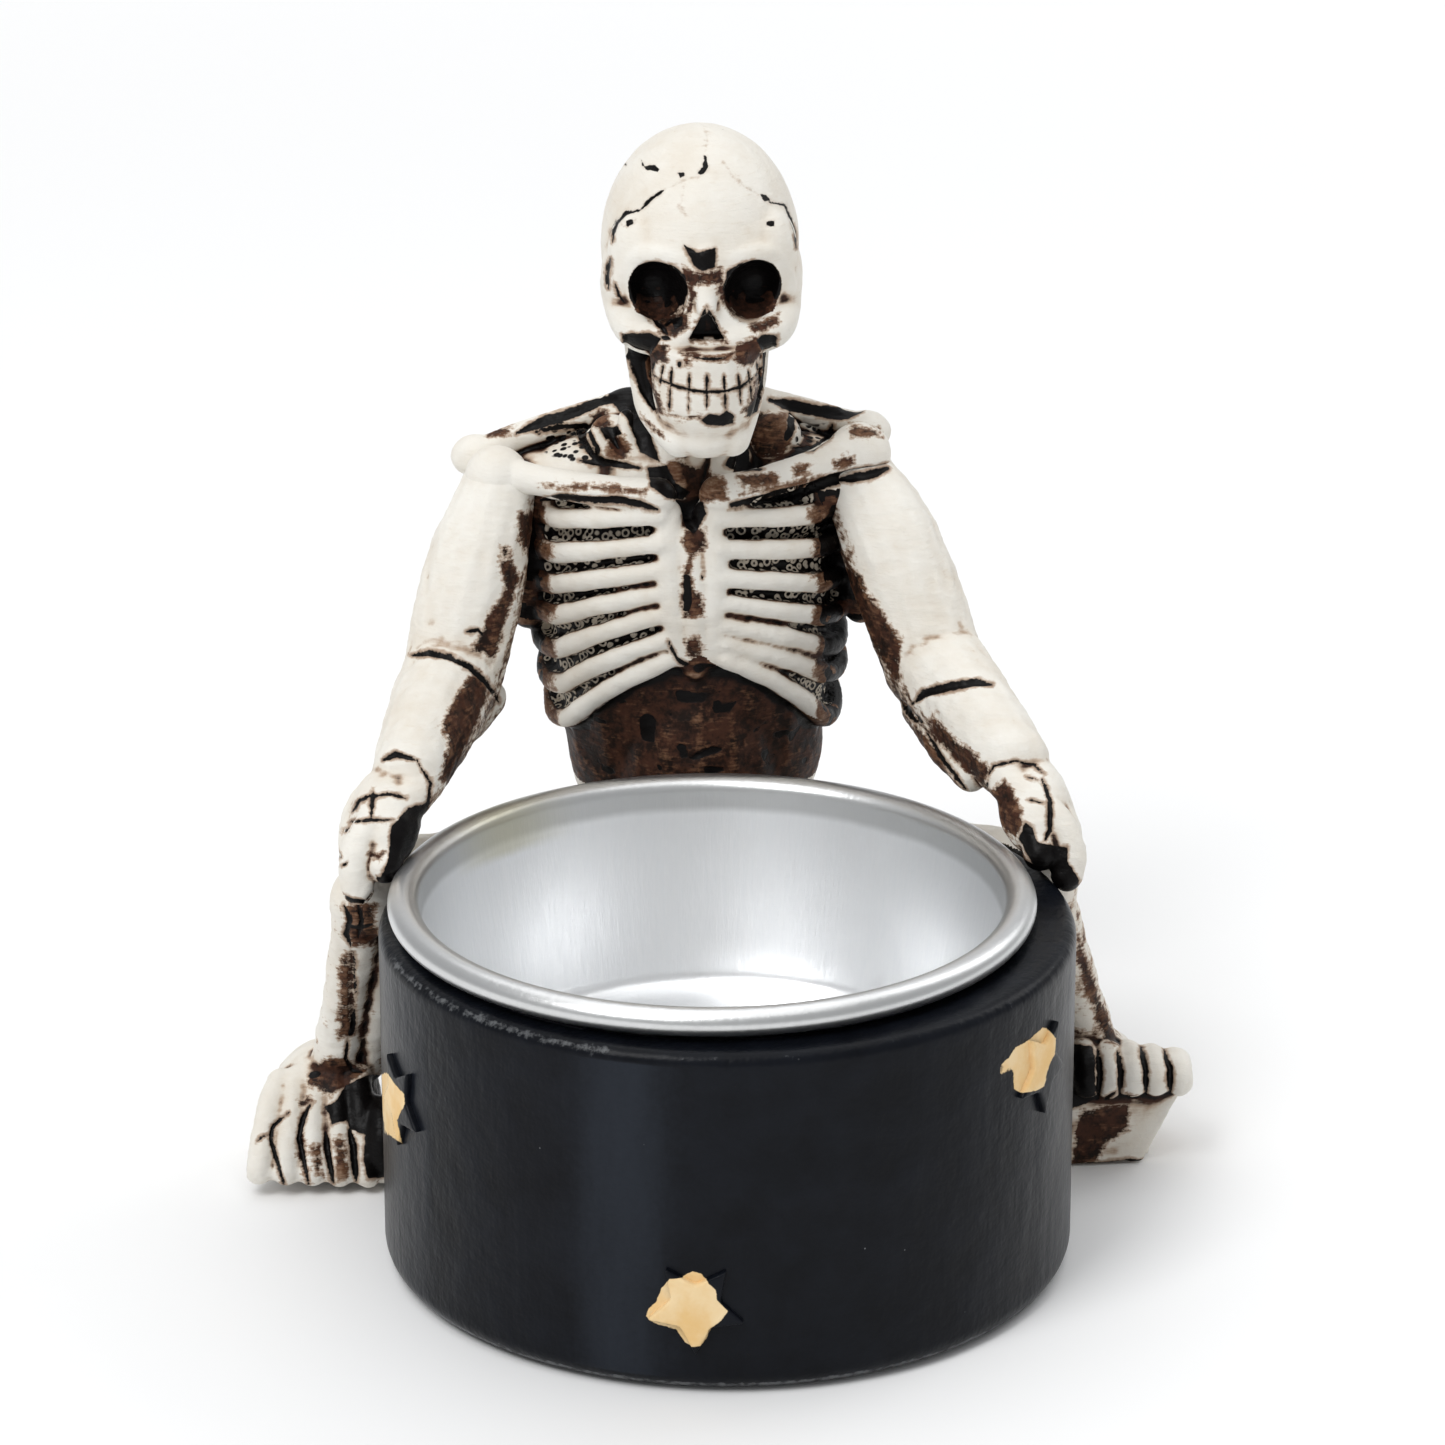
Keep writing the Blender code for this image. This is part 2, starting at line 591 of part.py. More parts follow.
def on_arch(angle, lift=0.0):
    """A point on the front of the tooth arch, angle degrees round from its middle."""
    turn = math.radians(angle)
    reach = TEETH_RADIUS + 0.1
    middle = SKULL_Y - SKULL_LENGTH / 2 + 1.85
    across = reach * math.sin(turn) + HEAD_SHIFT
    return Vector((across, middle - reach * math.cos(turn), SKULL_TOP - 17.4 + lift))


def tooth_gaps():
    """The upright gaps between the teeth."""
    cut = Clay()
    for gap in range(TEETH - 1):
        angle = (gap - (TEETH - 2) / 2) * 20.5 + 4.0
        cut.slab(on_arch(angle), (TOOTH_GAP, 0.9, 3.2 - abs(angle) / 60), (0, 0, angle))
    return cut


def bite_line():
    """The line between the upper and lower teeth, which turns up at its ends."""
    cut = Clay()
    ends = 68
    angles = (-ends, -ends / 2, 0, ends / 2, ends)
    stations = [(*on_arch(angle, 0.5 * (angle / ends) ** 2), 0.24) for angle in angles]
    cut.bone(stations, round_ends=False)
    return cut


def turned(name, profile, steps, collection):
    """A solid of revolution about Z from an outline of (radius, height) points, inside first."""
    mesh = bpy.data.meshes.new(name)
    points = [(r * MM, 0.0, z * MM) for r, z in profile]
    mesh.from_pydata(points, [(i, i + 1) for i in range(len(points) - 1)], [])
    obj = bpy.data.objects.new(name, mesh)
    collection.objects.link(obj)
    screw = obj.modifiers.new("turn", "SCREW")
    screw.steps = steps
    screw.render_steps = steps
    screw.use_merge_vertices = True
    screw.merge_threshold = 0.00001
    screw.use_smooth_shade = False
    return obj


def arc(centre, radius, start, end, points, rise=None):
    """(radius, height) points on an arc, with its angles in degrees from straight out."""
    rise = rise or radius
    made = []
    for i in range(points):
        turn = math.radians(mixed(start, end, i / (points - 1)))
        made.append((centre[0] + radius * math.cos(turn), centre[1] + rise * math.sin(turn)))
    return made


def add_cup(collection):
    """The cup: a rolled rim, a wall that narrows downwards and a floor with a pressed ring."""
    bead = CUP_BEAD / 2
    seat = POT_HEIGHT + CUP_CLEARANCE
    floor = seat + CUP_BEAD_HEIGHT - CUP_DEPTH
    bead_centre = (CUP_RIM_RADIUS - bead, seat + CUP_BEAD_HEIGHT / 2)
    ring = CUP_RING_RADIUS
    under = floor - CUP_WALL
    wall_out = CUP_MOUTH_RADIUS + CUP_WALL
    profile = [(0, floor), (ring - 0.7, floor), (ring, floor + CUP_RING_HEIGHT), (ring + 0.7, floor)]
    corner = (CUP_FLOOR_RADIUS - CUP_FLOOR_ROUND, floor + CUP_FLOOR_ROUND)
    profile += arc(corner, CUP_FLOOR_ROUND, -90, 0, 4)
    profile += arc(bead_centre, bead, 180, -90, 11, CUP_BEAD_HEIGHT / 2)
    profile += [(wall_out, seat)]
    outer_round = CUP_FLOOR_ROUND + CUP_WALL
    profile += arc((CUP_FLOOR_RADIUS - CUP_FLOOR_ROUND, floor + CUP_FLOOR_ROUND), outer_round, 0, -90, 4)
    profile += [(0, under)]
    cup = turned("candle_cup", profile, CUP_STEPS, collection)
    cup.location.x = CUP_SHIFT * MM
    cup.data.materials.append(material(ALUMINIUM))
    return cup


def pot_body(collection):
    """The pot's outside, carried below the ground plane, which trims it flat later."""
    low = -2.0
    profile = [(0, POT_HEIGHT)]
    profile += arc((POT_RADIUS - POT_TOP_ROUND, POT_HEIGHT - POT_TOP_ROUND), POT_TOP_ROUND, 90, 0, 4)
    profile += [(POT_RADIUS, POT_HEIGHT * 0.5)]
    profile += arc((POT_RADIUS - POT_BASE_ROUND, POT_BASE_ROUND), POT_BASE_ROUND, 0, -90, 4)
    profile += [(POT_RADIUS - POT_BASE_ROUND, low), (0, low)]
    pot = helper(turned("pot_body", profile, POT_STEPS, collection))
    pot.location.x = POT_SHIFT * MM
    return pot


def cup_space(collection):
    """The well for the cup, and above the rim the room that the cup's bead needs."""
    gap = CUP_CLEARANCE
    floor = POT_HEIGHT + CUP_BEAD_HEIGHT - CUP_DEPTH - CUP_WALL
    high = POT_HEIGHT + HAND_ROOM
    wall = CUP_MOUTH_RADIUS + CUP_WALL + gap
    profile = [(0, high), (CUP_RIM_RADIUS + gap, high), (CUP_RIM_RADIUS + gap, POT_HEIGHT)]
    profile += [(wall, POT_HEIGHT), (wall, floor), (0, floor)]
    space = helper(turned("cup_space", profile, POT_STEPS, collection))
    space.location.x = CUP_SHIFT * MM
    return space


def star_blank(angle, height, collection):
    """A five-pointed star, standing through the wall at an angle round the pot."""
    curve = bpy.data.curves.new("star", "CURVE")
    curve.dimensions = "2D"
    curve.fill_mode = "BOTH"
    curve.extrude = 2.5 * MM
    spline = curve.splines.new("POLY")
    spline.points.add(9)
    for i, point in enumerate(spline.points):
        reach = STAR_REACH if i % 2 == 0 else STAR_REACH * STAR_WAIST
        turn = math.radians(36 * i)
        point.co = (reach * math.sin(turn) * MM, reach * math.cos(turn) * MM, 0, 1)
    spline.use_cyclic_u = True
    guide = bpy.data.objects.new("star", curve)
    bpy.context.scene.collection.objects.link(guide)
    mesh = bpy.data.meshes.new_from_object(guide.evaluated_get(bpy.context.evaluated_depsgraph_get()))
    bpy.data.objects.remove(guide)
    around = math.radians(angle)
    out = Vector((POT_RADIUS * math.sin(around) + POT_SHIFT, -POT_RADIUS * math.cos(around), height))
    mesh.transform(
        Matrix.Translation(out * MM)
        @ Matrix.Rotation(around, 4, "Z")
        @ Matrix.Rotation(math.radians(90), 4, "X")
    )
    bm = bmesh.new()
    bm.from_mesh(mesh)
    bmesh.ops.remove_doubles(bm, verts=bm.verts, dist=0.001 * MM)
    bmesh.ops.recalc_face_normals(bm, faces=bm.faces)
    bm.to_mesh(mesh)
    bm.free()
    return helper(object_of("star", mesh, collection))


def combine(obj, other, operation):
    step = obj.modifiers.new(operation.lower(), "BOOLEAN")
    step.operation = operation
    step.object = other
    step.solver = "EXACT"
    return step


def add_casting(collection, cutters):
    """The whole figure and its pot as one solid, flat underneath."""
    clay = Clay()
    add_torso(clay)
    head = Clay()
    add_skull(head)
    clay.add(head.bm, Matrix.Translation((HEAD_SHIFT * MM, 0, 0)))
    for side in (-1, 1):
        add_arm(clay, side)
        add_hand(clay, side)
        add_leg(clay, side)
        add_foot(clay, side)
    casting = object_of("resin_casting", fused(clay, "resin_casting"), collection, RESIN)
    hollows = {"face_hollows": carving(), "tooth_gaps": tooth_gaps(), "bite_line": bite_line()}
    for name, shapes in hollows.items():
        combine(casting, helper(object_of(name, shapes.mesh(name), cutters)), "DIFFERENCE")
    combine(casting, pot_body(cutters), "UNION")
    for angle, share in STARS:
        blank = star_blank(angle, share * POT_HEIGHT, cutters)
        outside = POT_RADIUS + STAR_RELIEF
        band = [(0, POT_HEIGHT), (outside, POT_HEIGHT), (outside, -1), (0, -1)]
        relief = turned("relief", band, POT_STEPS, cutters)
        relief.location.x = POT_SHIFT * MM
        combine(blank, helper(relief), "INTERSECT")
        combine(casting, blank, "UNION")
    combine(casting, cup_space(cutters), "DIFFERENCE")
    ground = Clay()
    ground.slab((0, 0, -10), (200, 200, 20))
    combine(casting, helper(object_of("ground", ground.mesh("ground"), cutters)), "DIFFERENCE")
    return casting


def main():
    collection, cutters = clear_scene()
    add_cup(collection)
    add_casting(collection, cutters)


main()
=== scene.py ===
"""Looks for the skull candle holder: an antiqued resin skeleton round a black pot with a metal cup.

Shapes are given in millimetres in the row frame: Z up, the figure facing -Y, the pot standing on the origin.
The cast figure is built up from rounded shapes, fused to one fine skin and then carved and painted.
"""

import logging
import math
from dataclasses import dataclass, field
from enum import Enum

import bmesh
import bpy
import numpy as np
from mathutils import Matrix, Vector


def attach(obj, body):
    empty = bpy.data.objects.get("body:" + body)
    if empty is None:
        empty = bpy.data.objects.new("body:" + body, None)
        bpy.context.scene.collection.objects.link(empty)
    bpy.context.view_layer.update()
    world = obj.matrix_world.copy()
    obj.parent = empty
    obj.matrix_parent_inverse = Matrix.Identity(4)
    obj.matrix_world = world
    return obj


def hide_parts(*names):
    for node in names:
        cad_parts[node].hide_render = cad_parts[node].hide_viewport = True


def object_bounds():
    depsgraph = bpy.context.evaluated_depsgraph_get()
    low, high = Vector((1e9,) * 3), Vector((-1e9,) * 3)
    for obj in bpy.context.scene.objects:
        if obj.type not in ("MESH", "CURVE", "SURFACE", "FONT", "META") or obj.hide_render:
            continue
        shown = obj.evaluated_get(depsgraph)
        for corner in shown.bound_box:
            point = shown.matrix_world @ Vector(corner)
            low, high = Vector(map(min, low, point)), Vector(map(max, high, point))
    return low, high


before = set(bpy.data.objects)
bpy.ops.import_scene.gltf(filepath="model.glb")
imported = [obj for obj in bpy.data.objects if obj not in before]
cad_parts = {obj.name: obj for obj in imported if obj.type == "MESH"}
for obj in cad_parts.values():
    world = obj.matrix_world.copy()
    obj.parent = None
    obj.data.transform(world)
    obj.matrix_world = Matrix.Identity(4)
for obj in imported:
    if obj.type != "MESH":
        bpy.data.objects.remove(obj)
CAD_BOUNDS = [list(corner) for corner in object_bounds()]

MM = 0.001
# a piece with more triangles than this is thinned to this many; the part's budget is
# 200,000 a piece and a million in all
MOST_TRIANGLES = 190_000
# in the photograph, where the figure is
PX_PER_MM = 13.6
# the sizes of a casting's lumps, and their shares
LUMPS = ((2.2, 1.0), (0.9, 0.6), (0.45, 0.35))
# large primes that scatter the noise's lattice, and the range they fall in
SCATTER = np.array((73856093, 19349663, 83492791))
MIX, RANGE = 2654435761, 1000003
# a paint layer's level where nothing is painted
FAR = -2.0
CASTING = "resin_casting"
CUP = "candle_cup"
LOG = logging.getLogger("candle_holder")

Station = tuple[float, float, float, float]
Pixel = tuple[float, float]


class Ink(Enum):
    """What a mark leaves on the skin, and the name of the skin's layer for it."""

    BLACK = "black"
    BROWN = "brown"
    BARE = "bare"
    PITS = "pits"
    BEADS = "beads"
    GOLD = "gold"


class Side(Enum):
    """The figure's two sides, as seen from the front."""

    LEFT = -1
    RIGHT = 1

    def pick(self, left: float, right: float) -> float:
        """The value for this side: the first on -X, the second on +X."""
        return left if self is Side.LEFT else right


@dataclass(frozen=True)
class Sizes:
    """The object's main sizes, in millimetres."""

    pot_radius: float = 25.1
    pot_height: float = 25.6
    pot_shift: float = 0.7
    cup_shift: float = -0.4
    chest_y: float = 33.6
    chest_width: float = 23.2
    chest_depth_ratio: float = 0.7
    chest_bottom: float = 26.5
    chest_top: float = 50.0
    chest_curve: float = 0.0085
    rib_proud: float = 0.95
    widest_share: float = 0.47
    sternum_top: float = 48.6
    sternum_tip: float = 34.6
    skull_y: float = 31.0
    skull_top: float = 75.6
    skull_width: float = 14.7
    eye_z: float = 65.7
    chin_z: float = 52.7
    jaw_shift: float = -0.4
    head_shift: float = 0.3
    lean: float = -0.04
    face_y: float = 21.8

    def chest_half(self, z: "float | np.ndarray") -> "float | np.ndarray":
        """The ribs' half width."""
        widest = self.chest_top - (self.chest_top - self.chest_bottom) * self.widest_share
        return self.chest_width / 2 - self.chest_curve * (z - widest) ** 2

    def lean_at(self, z: "float | np.ndarray") -> "float | np.ndarray":
        """How far the chest's middle has moved over: it leans a little towards -X."""
        return self.lean * np.maximum(0.0, z - self.chest_bottom)

    def chest_point(self, z: float, angle: float, proud: float = 0.0) -> Vector:
        """A point on the chest.

        Args:
            z: height.
            angle: degrees round from the breastbone towards the spine, on +X.
            proud: how far outside the chest's surface.

        Returns:
            The point.
        """
        across = self.chest_half(z) + proud
        turn = math.radians(angle)
        return Vector((across * math.sin(turn), self.chest_y - across * self.chest_depth_ratio * math.cos(turn), z))


SIZES = Sizes()


def mixed(start: "float | Vector", end: "float | Vector", share: float) -> "float | Vector":
    """A linear blend of two numbers or vectors: share 0 gives the start and 1 the end."""
    return start + (end - start) * share


def lattice_noise(points: np.ndarray, size: float) -> np.ndarray:
    """Smooth noise with a fixed pattern.

    Args:
        points: N by 3, millimetres.
        size: how far apart its lumps are, millimetres.

    Returns:
        N values between -1 and 1.
    """
    spot = points / size + 100
    base = np.floor(spot).astype(np.int64)
    part = spot - base
    part = part * part * (3 - 2 * part)
    total = np.zeros(len(points))
    for corner in range(8):
        step = np.array([corner & 1, corner >> 1 & 1, corner >> 2 & 1])
        weight = np.where(step, part, 1 - part).prod(1)
        key = (base + step) @ SCATTER
        total += weight * ((key * MIX % RANGE) / (RANGE / 2) - 1)
    return total


def linked(name: str, data: bpy.types.ID) -> bpy.types.Object:
    """Puts an object in the scene.

    Args:
        name: its name.
        data: its mesh, curve, light or camera.

    Returns:
        The object.
    """
    thing = bpy.data.objects.new(name, data)
    bpy.context.scene.collection.objects.link(thing)
    return thing


def baked(thing: bpy.types.Object) -> bpy.types.Mesh:
    """Makes a mesh of an object as its modifiers leave it, and removes the object.

    Args:
        thing: the object.

    Returns:
        The mesh.
    """
    made = bpy.data.meshes.new_from_object(thing.evaluated_get(bpy.context.evaluated_depsgraph_get()))
    bpy.data.objects.remove(thing)
    return made


@dataclass(frozen=True)
class PhotoView:
    """The photograph's camera, found from the cup rim's ellipse. Its pixels are those of a 1445 square."""

    focal_px: float = 6200.0
    frame_px: float = 1445.0
    pitch: float = 20.7
    yaw: float = 3.0
    place: tuple[float, float, float] = (-21.2, -411.2, 196.0)

    def axes(self) -> np.ndarray:
        """The camera's axes.

        Returns:
            Rows: to the right, downwards and forwards.
        """
        p, y = math.radians(self.pitch), math.radians(self.yaw)
        right = (math.cos(y), -math.sin(y), 0.0)
        down = (-math.sin(y) * math.sin(p), -math.cos(y) * math.sin(p), -math.cos(p))
        ahead = (math.sin(y) * math.cos(p), math.cos(y) * math.cos(p), -math.sin(p))
        return np.array((right, down, ahead))

    def project(self, points: np.ndarray) -> np.ndarray:
        """Where points fall in the photograph."""
        seen = (points - np.array(self.place)) @ self.axes().T
        return self.frame_px / 2 + self.focal_px * seen[:, :2] / seen[:, 2:3]

    def facing(self, points: np.ndarray, normals: np.ndarray) -> np.ndarray:
        """How squarely a surface faces the camera.

        Args:
            points: N by 3, millimetres.
            normals: N by 3, unit length.

        Returns:
            N cosines, 1 where the surface faces the camera.
        """
        away = np.array(self.place) - points
        away /= np.linalg.norm(away, axis=1, keepdims=True)
        return np.einsum("ij,ij->i", away, normals)

    def add_camera(self) -> None:
        """Sets the scene's camera to this view."""
        data = bpy.data.cameras.new("photo_view")
        data.sensor_width = 36.0
        data.lens = 36.0 * self.focal_px / self.frame_px
        data.clip_start, data.clip_end = 0.01, 20.0
        camera = linked("photo_view", data)
        camera.location = Vector(self.place) * MM
        camera.rotation_euler = Vector(self.axes()[2]).to_track_quat("-Z", "Y").to_euler()
        bpy.context.scene.camera = camera


VIEW = PhotoView()


@dataclass(frozen=True)
class Mark:
    """A brush stroke, score or painted patch, drawn on the skin as seen in the photograph."""

    path: tuple[Pixel, ...]
    width: float = 0.3
    depth: float = 0.0
    ink: Ink = Ink.BLACK
    closed: bool = False
    faint: float = 0.0
    blunt: float = 0.3
    taper: float = 3.0

    def near(self, pixels: np.ndarray) -> np.ndarray:
        """Which pixels could be touched.

        Args:
            pixels: N by 2.

        Returns:
            N booleans.
        """
        line = np.array(self.path)
        reach = (self.width / 2 + 1.2) * PX_PER_MM
        low, high = line.min(0) - reach, line.max(0) + reach
        return ((pixels > low) & (pixels < high)).all(1)

    def level(self, pixels: np.ndarray) -> np.ndarray:
        """How far inside the mark each pixel is.

        Args:
            pixels: N by 2.

        Returns:
            N distances in millimetres, negative outside.
        """
        line = np.array(self.path, float)
        if self.closed:
            line = np.vstack((line, line[:1]))
        level = np.full(len(pixels), -1e9)
        inside = np.zeros(len(pixels), bool)
        for step, (start, end) in enumerate(zip(line[:-1], line[1:])):
            run = end - start
            share = np.clip(((pixels - start) @ run) / max(run @ run, 1e-9), 0, 1)
            apart = np.linalg.norm(pixels - start - share[:, None] * run, axis=1) / PX_PER_MM
            # a stroke is thin at both ends
            along = (step + share) / (len(line) - 1)
            swell = np.minimum(1.0, self.blunt + self.taper * np.minimum(along, 1 - along))
            half = self.width / 2 * swell
            level = np.maximum(level, half - apart)
            if self.closed:
                above = (start[1] > pixels[:, 1]) != (end[1] > pixels[:, 1])
                cross = start[0] + (pixels[:, 1] - start[1]) * run[0] / (run[1] if run[1] else 1e-9)
                inside ^= above & (pixels[:, 0] < cross)
        return np.where(inside, -level, level) - self.faint


def line(*path: Pixel, width: float = 0.3, depth: float = 0.12, ink: Ink = Ink.BLACK) -> Mark:
    """A scored and inked line through pixels, its width and depth in millimetres."""
    return Mark(path, width, depth, ink)


def patch(*path: Pixel, ink: Ink = Ink.BLACK, depth: float = 0.0, faint: float = 0.0) -> Mark:
    """A filled outline in pixels, sunk by its depth in millimetres, and smaller the fainter it is."""
    return Mark(path, 0.0, depth, ink, True, faint)


class Skin:
    """A sculpted mesh as arrays: its points, and layers of paint levels at each point."""

    def __init__(self, mesh: bpy.types.Mesh) -> None:
        """Reads a mesh.

        Args:
            mesh: in metres, in the row frame.
        """
        self.mesh = mesh
        self.count = len(mesh.vertices)
        flat = np.empty(self.count * 3, np.float32)
        mesh.vertices.foreach_get("co", flat)
        self.points = flat.reshape(-1, 3).astype(float) / MM
        ends = np.empty(len(mesh.edges) * 2, np.int32)
        mesh.edges.foreach_get("vertices", ends)
        self.ends = ends.reshape(-1, 2)
        self.degree = np.maximum(np.bincount(ends, minlength=self.count), 1).astype(float)
        self.layers: dict[str, np.ndarray] = {}

    def normals(self) -> np.ndarray:
        """The surface's directions.

        Returns:
            N by 3, unit length.
        """
        flat = np.empty(self.count * 3, np.float32)
        self.mesh.vertices.foreach_get("normal", flat)
        return flat.reshape(-1, 3).astype(float)

    def smoothed(self, values: np.ndarray, rounds: int) -> np.ndarray:
        """Spreads values over neighbouring points.

        Args:
            values: one value for each point.
            rounds: how many times.

        Returns:
            The spread values.
        """
        first, second = self.ends.T
        for _ in range(rounds):
            near = np.bincount(first, values[second], self.count) + np.bincount(second, values[first], self.count)
            values = near / self.degree
        return values

    def relief(self, rounds: int) -> np.ndarray:
        """Each point's height over the surface's own smoothed form, in millimetres, negative in hollows."""
        eased = np.stack([self.smoothed(self.points[:, axis], rounds) for axis in range(3)], axis=1)
        return np.einsum("ij,ij->i", self.points - eased, self.normals())

    def settle(self, broad: int, fine: int, share: float = 1.0) -> None:
        """Finds where a wash settles, in hollows and creases, and adds painted shade on undersides.

        Args:
            broad: how much to smooth for the hollows.
            fine: how much to smooth for the creases.
            share: how strongly the creases count.
        """
        # painted shade: surfaces that face down count as deeper, so they take more cream, brown and black
        under = np.maximum(0.0, -self.normals()[:, 2])
        self.layers["hollow"] = self.relief(broad) - 0.17 * under
        self.layers["relief"] = self.relief(fine) * share

    def push(self, amount: np.ndarray) -> None:
        """Moves the surface outwards by so many millimetres at each point."""
        self.points += self.normals() * amount[:, None]
        self.store_points()

    def ease(self, rounds: int) -> None:
        """Softens the surface.

        Args:
            rounds: how many times.
        """
        for axis in range(3):
            self.points[:, axis] = self.smoothed(self.points[:, axis], rounds)
        self.store_points()

    def roughen(self, amount: float) -> None:
        """Gives the surface the small lumps of a worn casting."""
        self.push(amount * sum(share * lattice_noise(self.points, size) for size, share in LUMPS))

    def store_points(self) -> None:
        """Writes the points back to the mesh, kept inside the CAD's box."""
        low, high = np.array(CAD_BOUNDS) / MM
        self.points = np.clip(self.points, low + 0.01, high - 0.01)
        self.mesh.vertices.foreach_set("co", (self.points * MM).astype(np.float32).ravel())
        self.mesh.update()

    def layer(self, ink: Ink) -> np.ndarray:
        """One paint layer: its levels, which can be changed in place."""
        return self.layers.setdefault(ink.value, np.full(self.count, FAR))

    def apply(self, marks: tuple[Mark, ...]) -> None:
        """Cuts and paints marks into the part of the surface that the photograph shows.

        Args:
            marks: in any order.
        """
        pixels = VIEW.project(self.points)
        front = VIEW.facing(self.points, self.normals()) > 0.02
        cut = np.zeros(self.count)
        for mark in marks:
            which = np.flatnonzero(front & mark.near(pixels))
            level = mark.level(pixels[which])
            layer = self.layer(mark.ink)
            layer[which] = np.maximum(layer[which], level)
            half = max(mark.width / 2, 0.15)
            depth = mark.depth * np.clip(level / half, 0, 1) ** 0.5
            cut[which] = np.maximum(cut[which], depth)
        self.push(-cut)

    def finish(self) -> None:
        """Writes the layers to the mesh, thins it to its budget and shades it smooth."""
        for ink in Ink:
            self.layer(ink)
        for name, values in self.layers.items():
            stored = self.mesh.attributes.new(name, "FLOAT", "POINT")
            stored.data.foreach_set("value", values.astype(np.float32))
        self.thin()
        self.mesh.polygons.foreach_set("use_smooth", np.ones(len(self.mesh.polygons), bool))
        self.mesh.update()

    def thin(self) -> None:
        """Takes faces out where the photograph doesn't look, if there are more than a piece may have."""
        self.mesh.calc_loop_triangles()
        count = len(self.mesh.loop_triangles)
        if count <= MOST_TRIANGLES:
            return
        unseen = np.flatnonzero(VIEW.facing(self.points, self.normals()) < 0.0)
        full = linked(self.mesh.name, self.mesh)
        group = full.vertex_groups.new(name="unseen")
        group.add(unseen.tolist(), 1.0, "REPLACE")
        thinner = full.modifiers.new("thinner", "DECIMATE")
        thinner.ratio = MOST_TRIANGLES / count
        thinner.vertex_group = group.name
        self.mesh = baked(full)
        Skin(self.mesh).store_points()
        LOG.info("%s: %d of %d triangles kept", self.mesh.name, len(self.mesh.polygons), count)


@dataclass
class Clay:
    """Overlapping closed shapes, gathered in one mesh before they are fused."""

    bm: bmesh.types.BMesh = field(default_factory=bmesh.new)

    @staticmethod
    def placed(centre: tuple, turn: tuple) -> Matrix:
        """A placing matrix.

        Args:
            centre: millimetres.
            turn: degrees about X, Y and Z.

        Returns:
            The matrix, in metres.
        """
        place = Matrix.Translation(Vector(centre) * MM)
        for angle, axis in zip(turn, "XYZ"):
            place = place @ Matrix.Rotation(math.radians(angle), 4, axis)
        return place

    def add(self, made: bmesh.types.BMesh, place: Matrix) -> None:
        """Takes in another mesh.

        Args:
            made: the mesh, which is freed.
            place: where it goes.
        """
        bmesh.ops.transform(made, matrix=place, verts=made.verts)
        shape = bpy.data.meshes.new("shape")
        made.to_mesh(shape)
        made.free()
        self.bm.from_mesh(shape)
        bpy.data.meshes.remove(shape)

    def ball(self, centre: tuple, radii: tuple, turn: tuple = (0, 0, 0)) -> None:
        """Adds an ellipsoid.

        Args:
            centre: millimetres.
            radii: millimetres along X, Y and Z.
            turn: degrees about X, Y and Z.
        """
        made = bmesh.new()
        bmesh.ops.create_uvsphere(made, u_segments=40, v_segments=28, radius=MM)
        self.add(made, self.placed(centre, turn) @ Matrix.Diagonal((*radii, 1.0)))

    def slab(self, centre: tuple, sizes: tuple, turn: tuple = (0, 0, 0), tuck: float = 0.0) -> None:
        """Adds a box.

        Args:
            centre: millimetres.
            sizes: millimetres along X, Y and Z.
            turn: degrees about X, Y and Z.
            tuck: how far its foot on +X is tucked in.
        """
        made = bmesh.new()
        bmesh.ops.create_cube(made, size=MM)
        for vert in made.verts:
            if vert.co.x > 0 and vert.co.z < 0:
                vert.co.x -= tuck / sizes[0] * MM
        self.add(made, self.placed(centre, turn) @ Matrix.Diagonal((*sizes, 1.0)))

    def prism(self, centre: tuple, radius: float, height: float, sides: int, turn: tuple = (0, 0, 0)) -> None:
        """Adds an upright prism.

        Args:
            centre: millimetres.
            radius: of its corners.
            height: millimetres.
            sides: how many.
            turn: degrees about X, Y and Z.
        """
        made = bmesh.new()
        size = radius * MM
        bmesh.ops.create_cone(made, cap_ends=True, segments=sides, radius1=size, radius2=size, depth=height * MM)
        self.add(made, self.placed(centre, turn))

    def bone(self, stations: list[Station], depth_ratio: float = 1.0, round_ends: bool = True) -> None:
        """Adds a smooth tube.

        Args:
            stations: x, y, z and radius, millimetres.
            depth_ratio: how far it is flattened in Y.
            round_ends: whether it ends in balls.
        """
        curve = bpy.data.curves.new("bone", "CURVE")
        curve.dimensions = "3D"
        curve.bevel_depth = MM
        curve.bevel_resolution = 6
        curve.resolution_u = 12
        curve.use_fill_caps = True
        spline = curve.splines.new("NURBS")
        spline.points.add(len(stations) - 1)
        for point, (x, y, z, radius) in zip(spline.points, stations):
            point.co = (x * MM, y * MM, z * MM, 1.0)
            point.radius = radius
        spline.order_u = min(3, len(stations))
        spline.use_endpoint_u = True
        tube = baked(linked("bone", curve))
        middle = sum(station[1] for station in stations) / len(stations) * MM
        flatten = Matrix.Diagonal((1, depth_ratio, 1, 1))
        made = bmesh.new()
        made.from_mesh(tube)
        bpy.data.meshes.remove(tube)
        bmesh.ops.remove_doubles(made, verts=made.verts, dist=0.001 * MM)
        self.add(made, Matrix.Translation((0, middle, 0)) @ flatten @ Matrix.Translation((0, -middle, 0)))
        if round_ends:
            for x, y, z, radius in (stations[0], stations[-1]):
                self.ball((x, y, z), (radius, radius * depth_ratio, radius))

    def mesh(self, name: str) -> bpy.types.Mesh:
        """The gathered shapes.

        Args:
            name: the mesh's name.

        Returns:
            The mesh. The clay can't be used again.
        """
        made = bpy.data.meshes.new(name)
        bmesh.ops.recalc_face_normals(self.bm, faces=self.bm.faces)
        self.bm.to_mesh(made)
        self.bm.free()
        return made

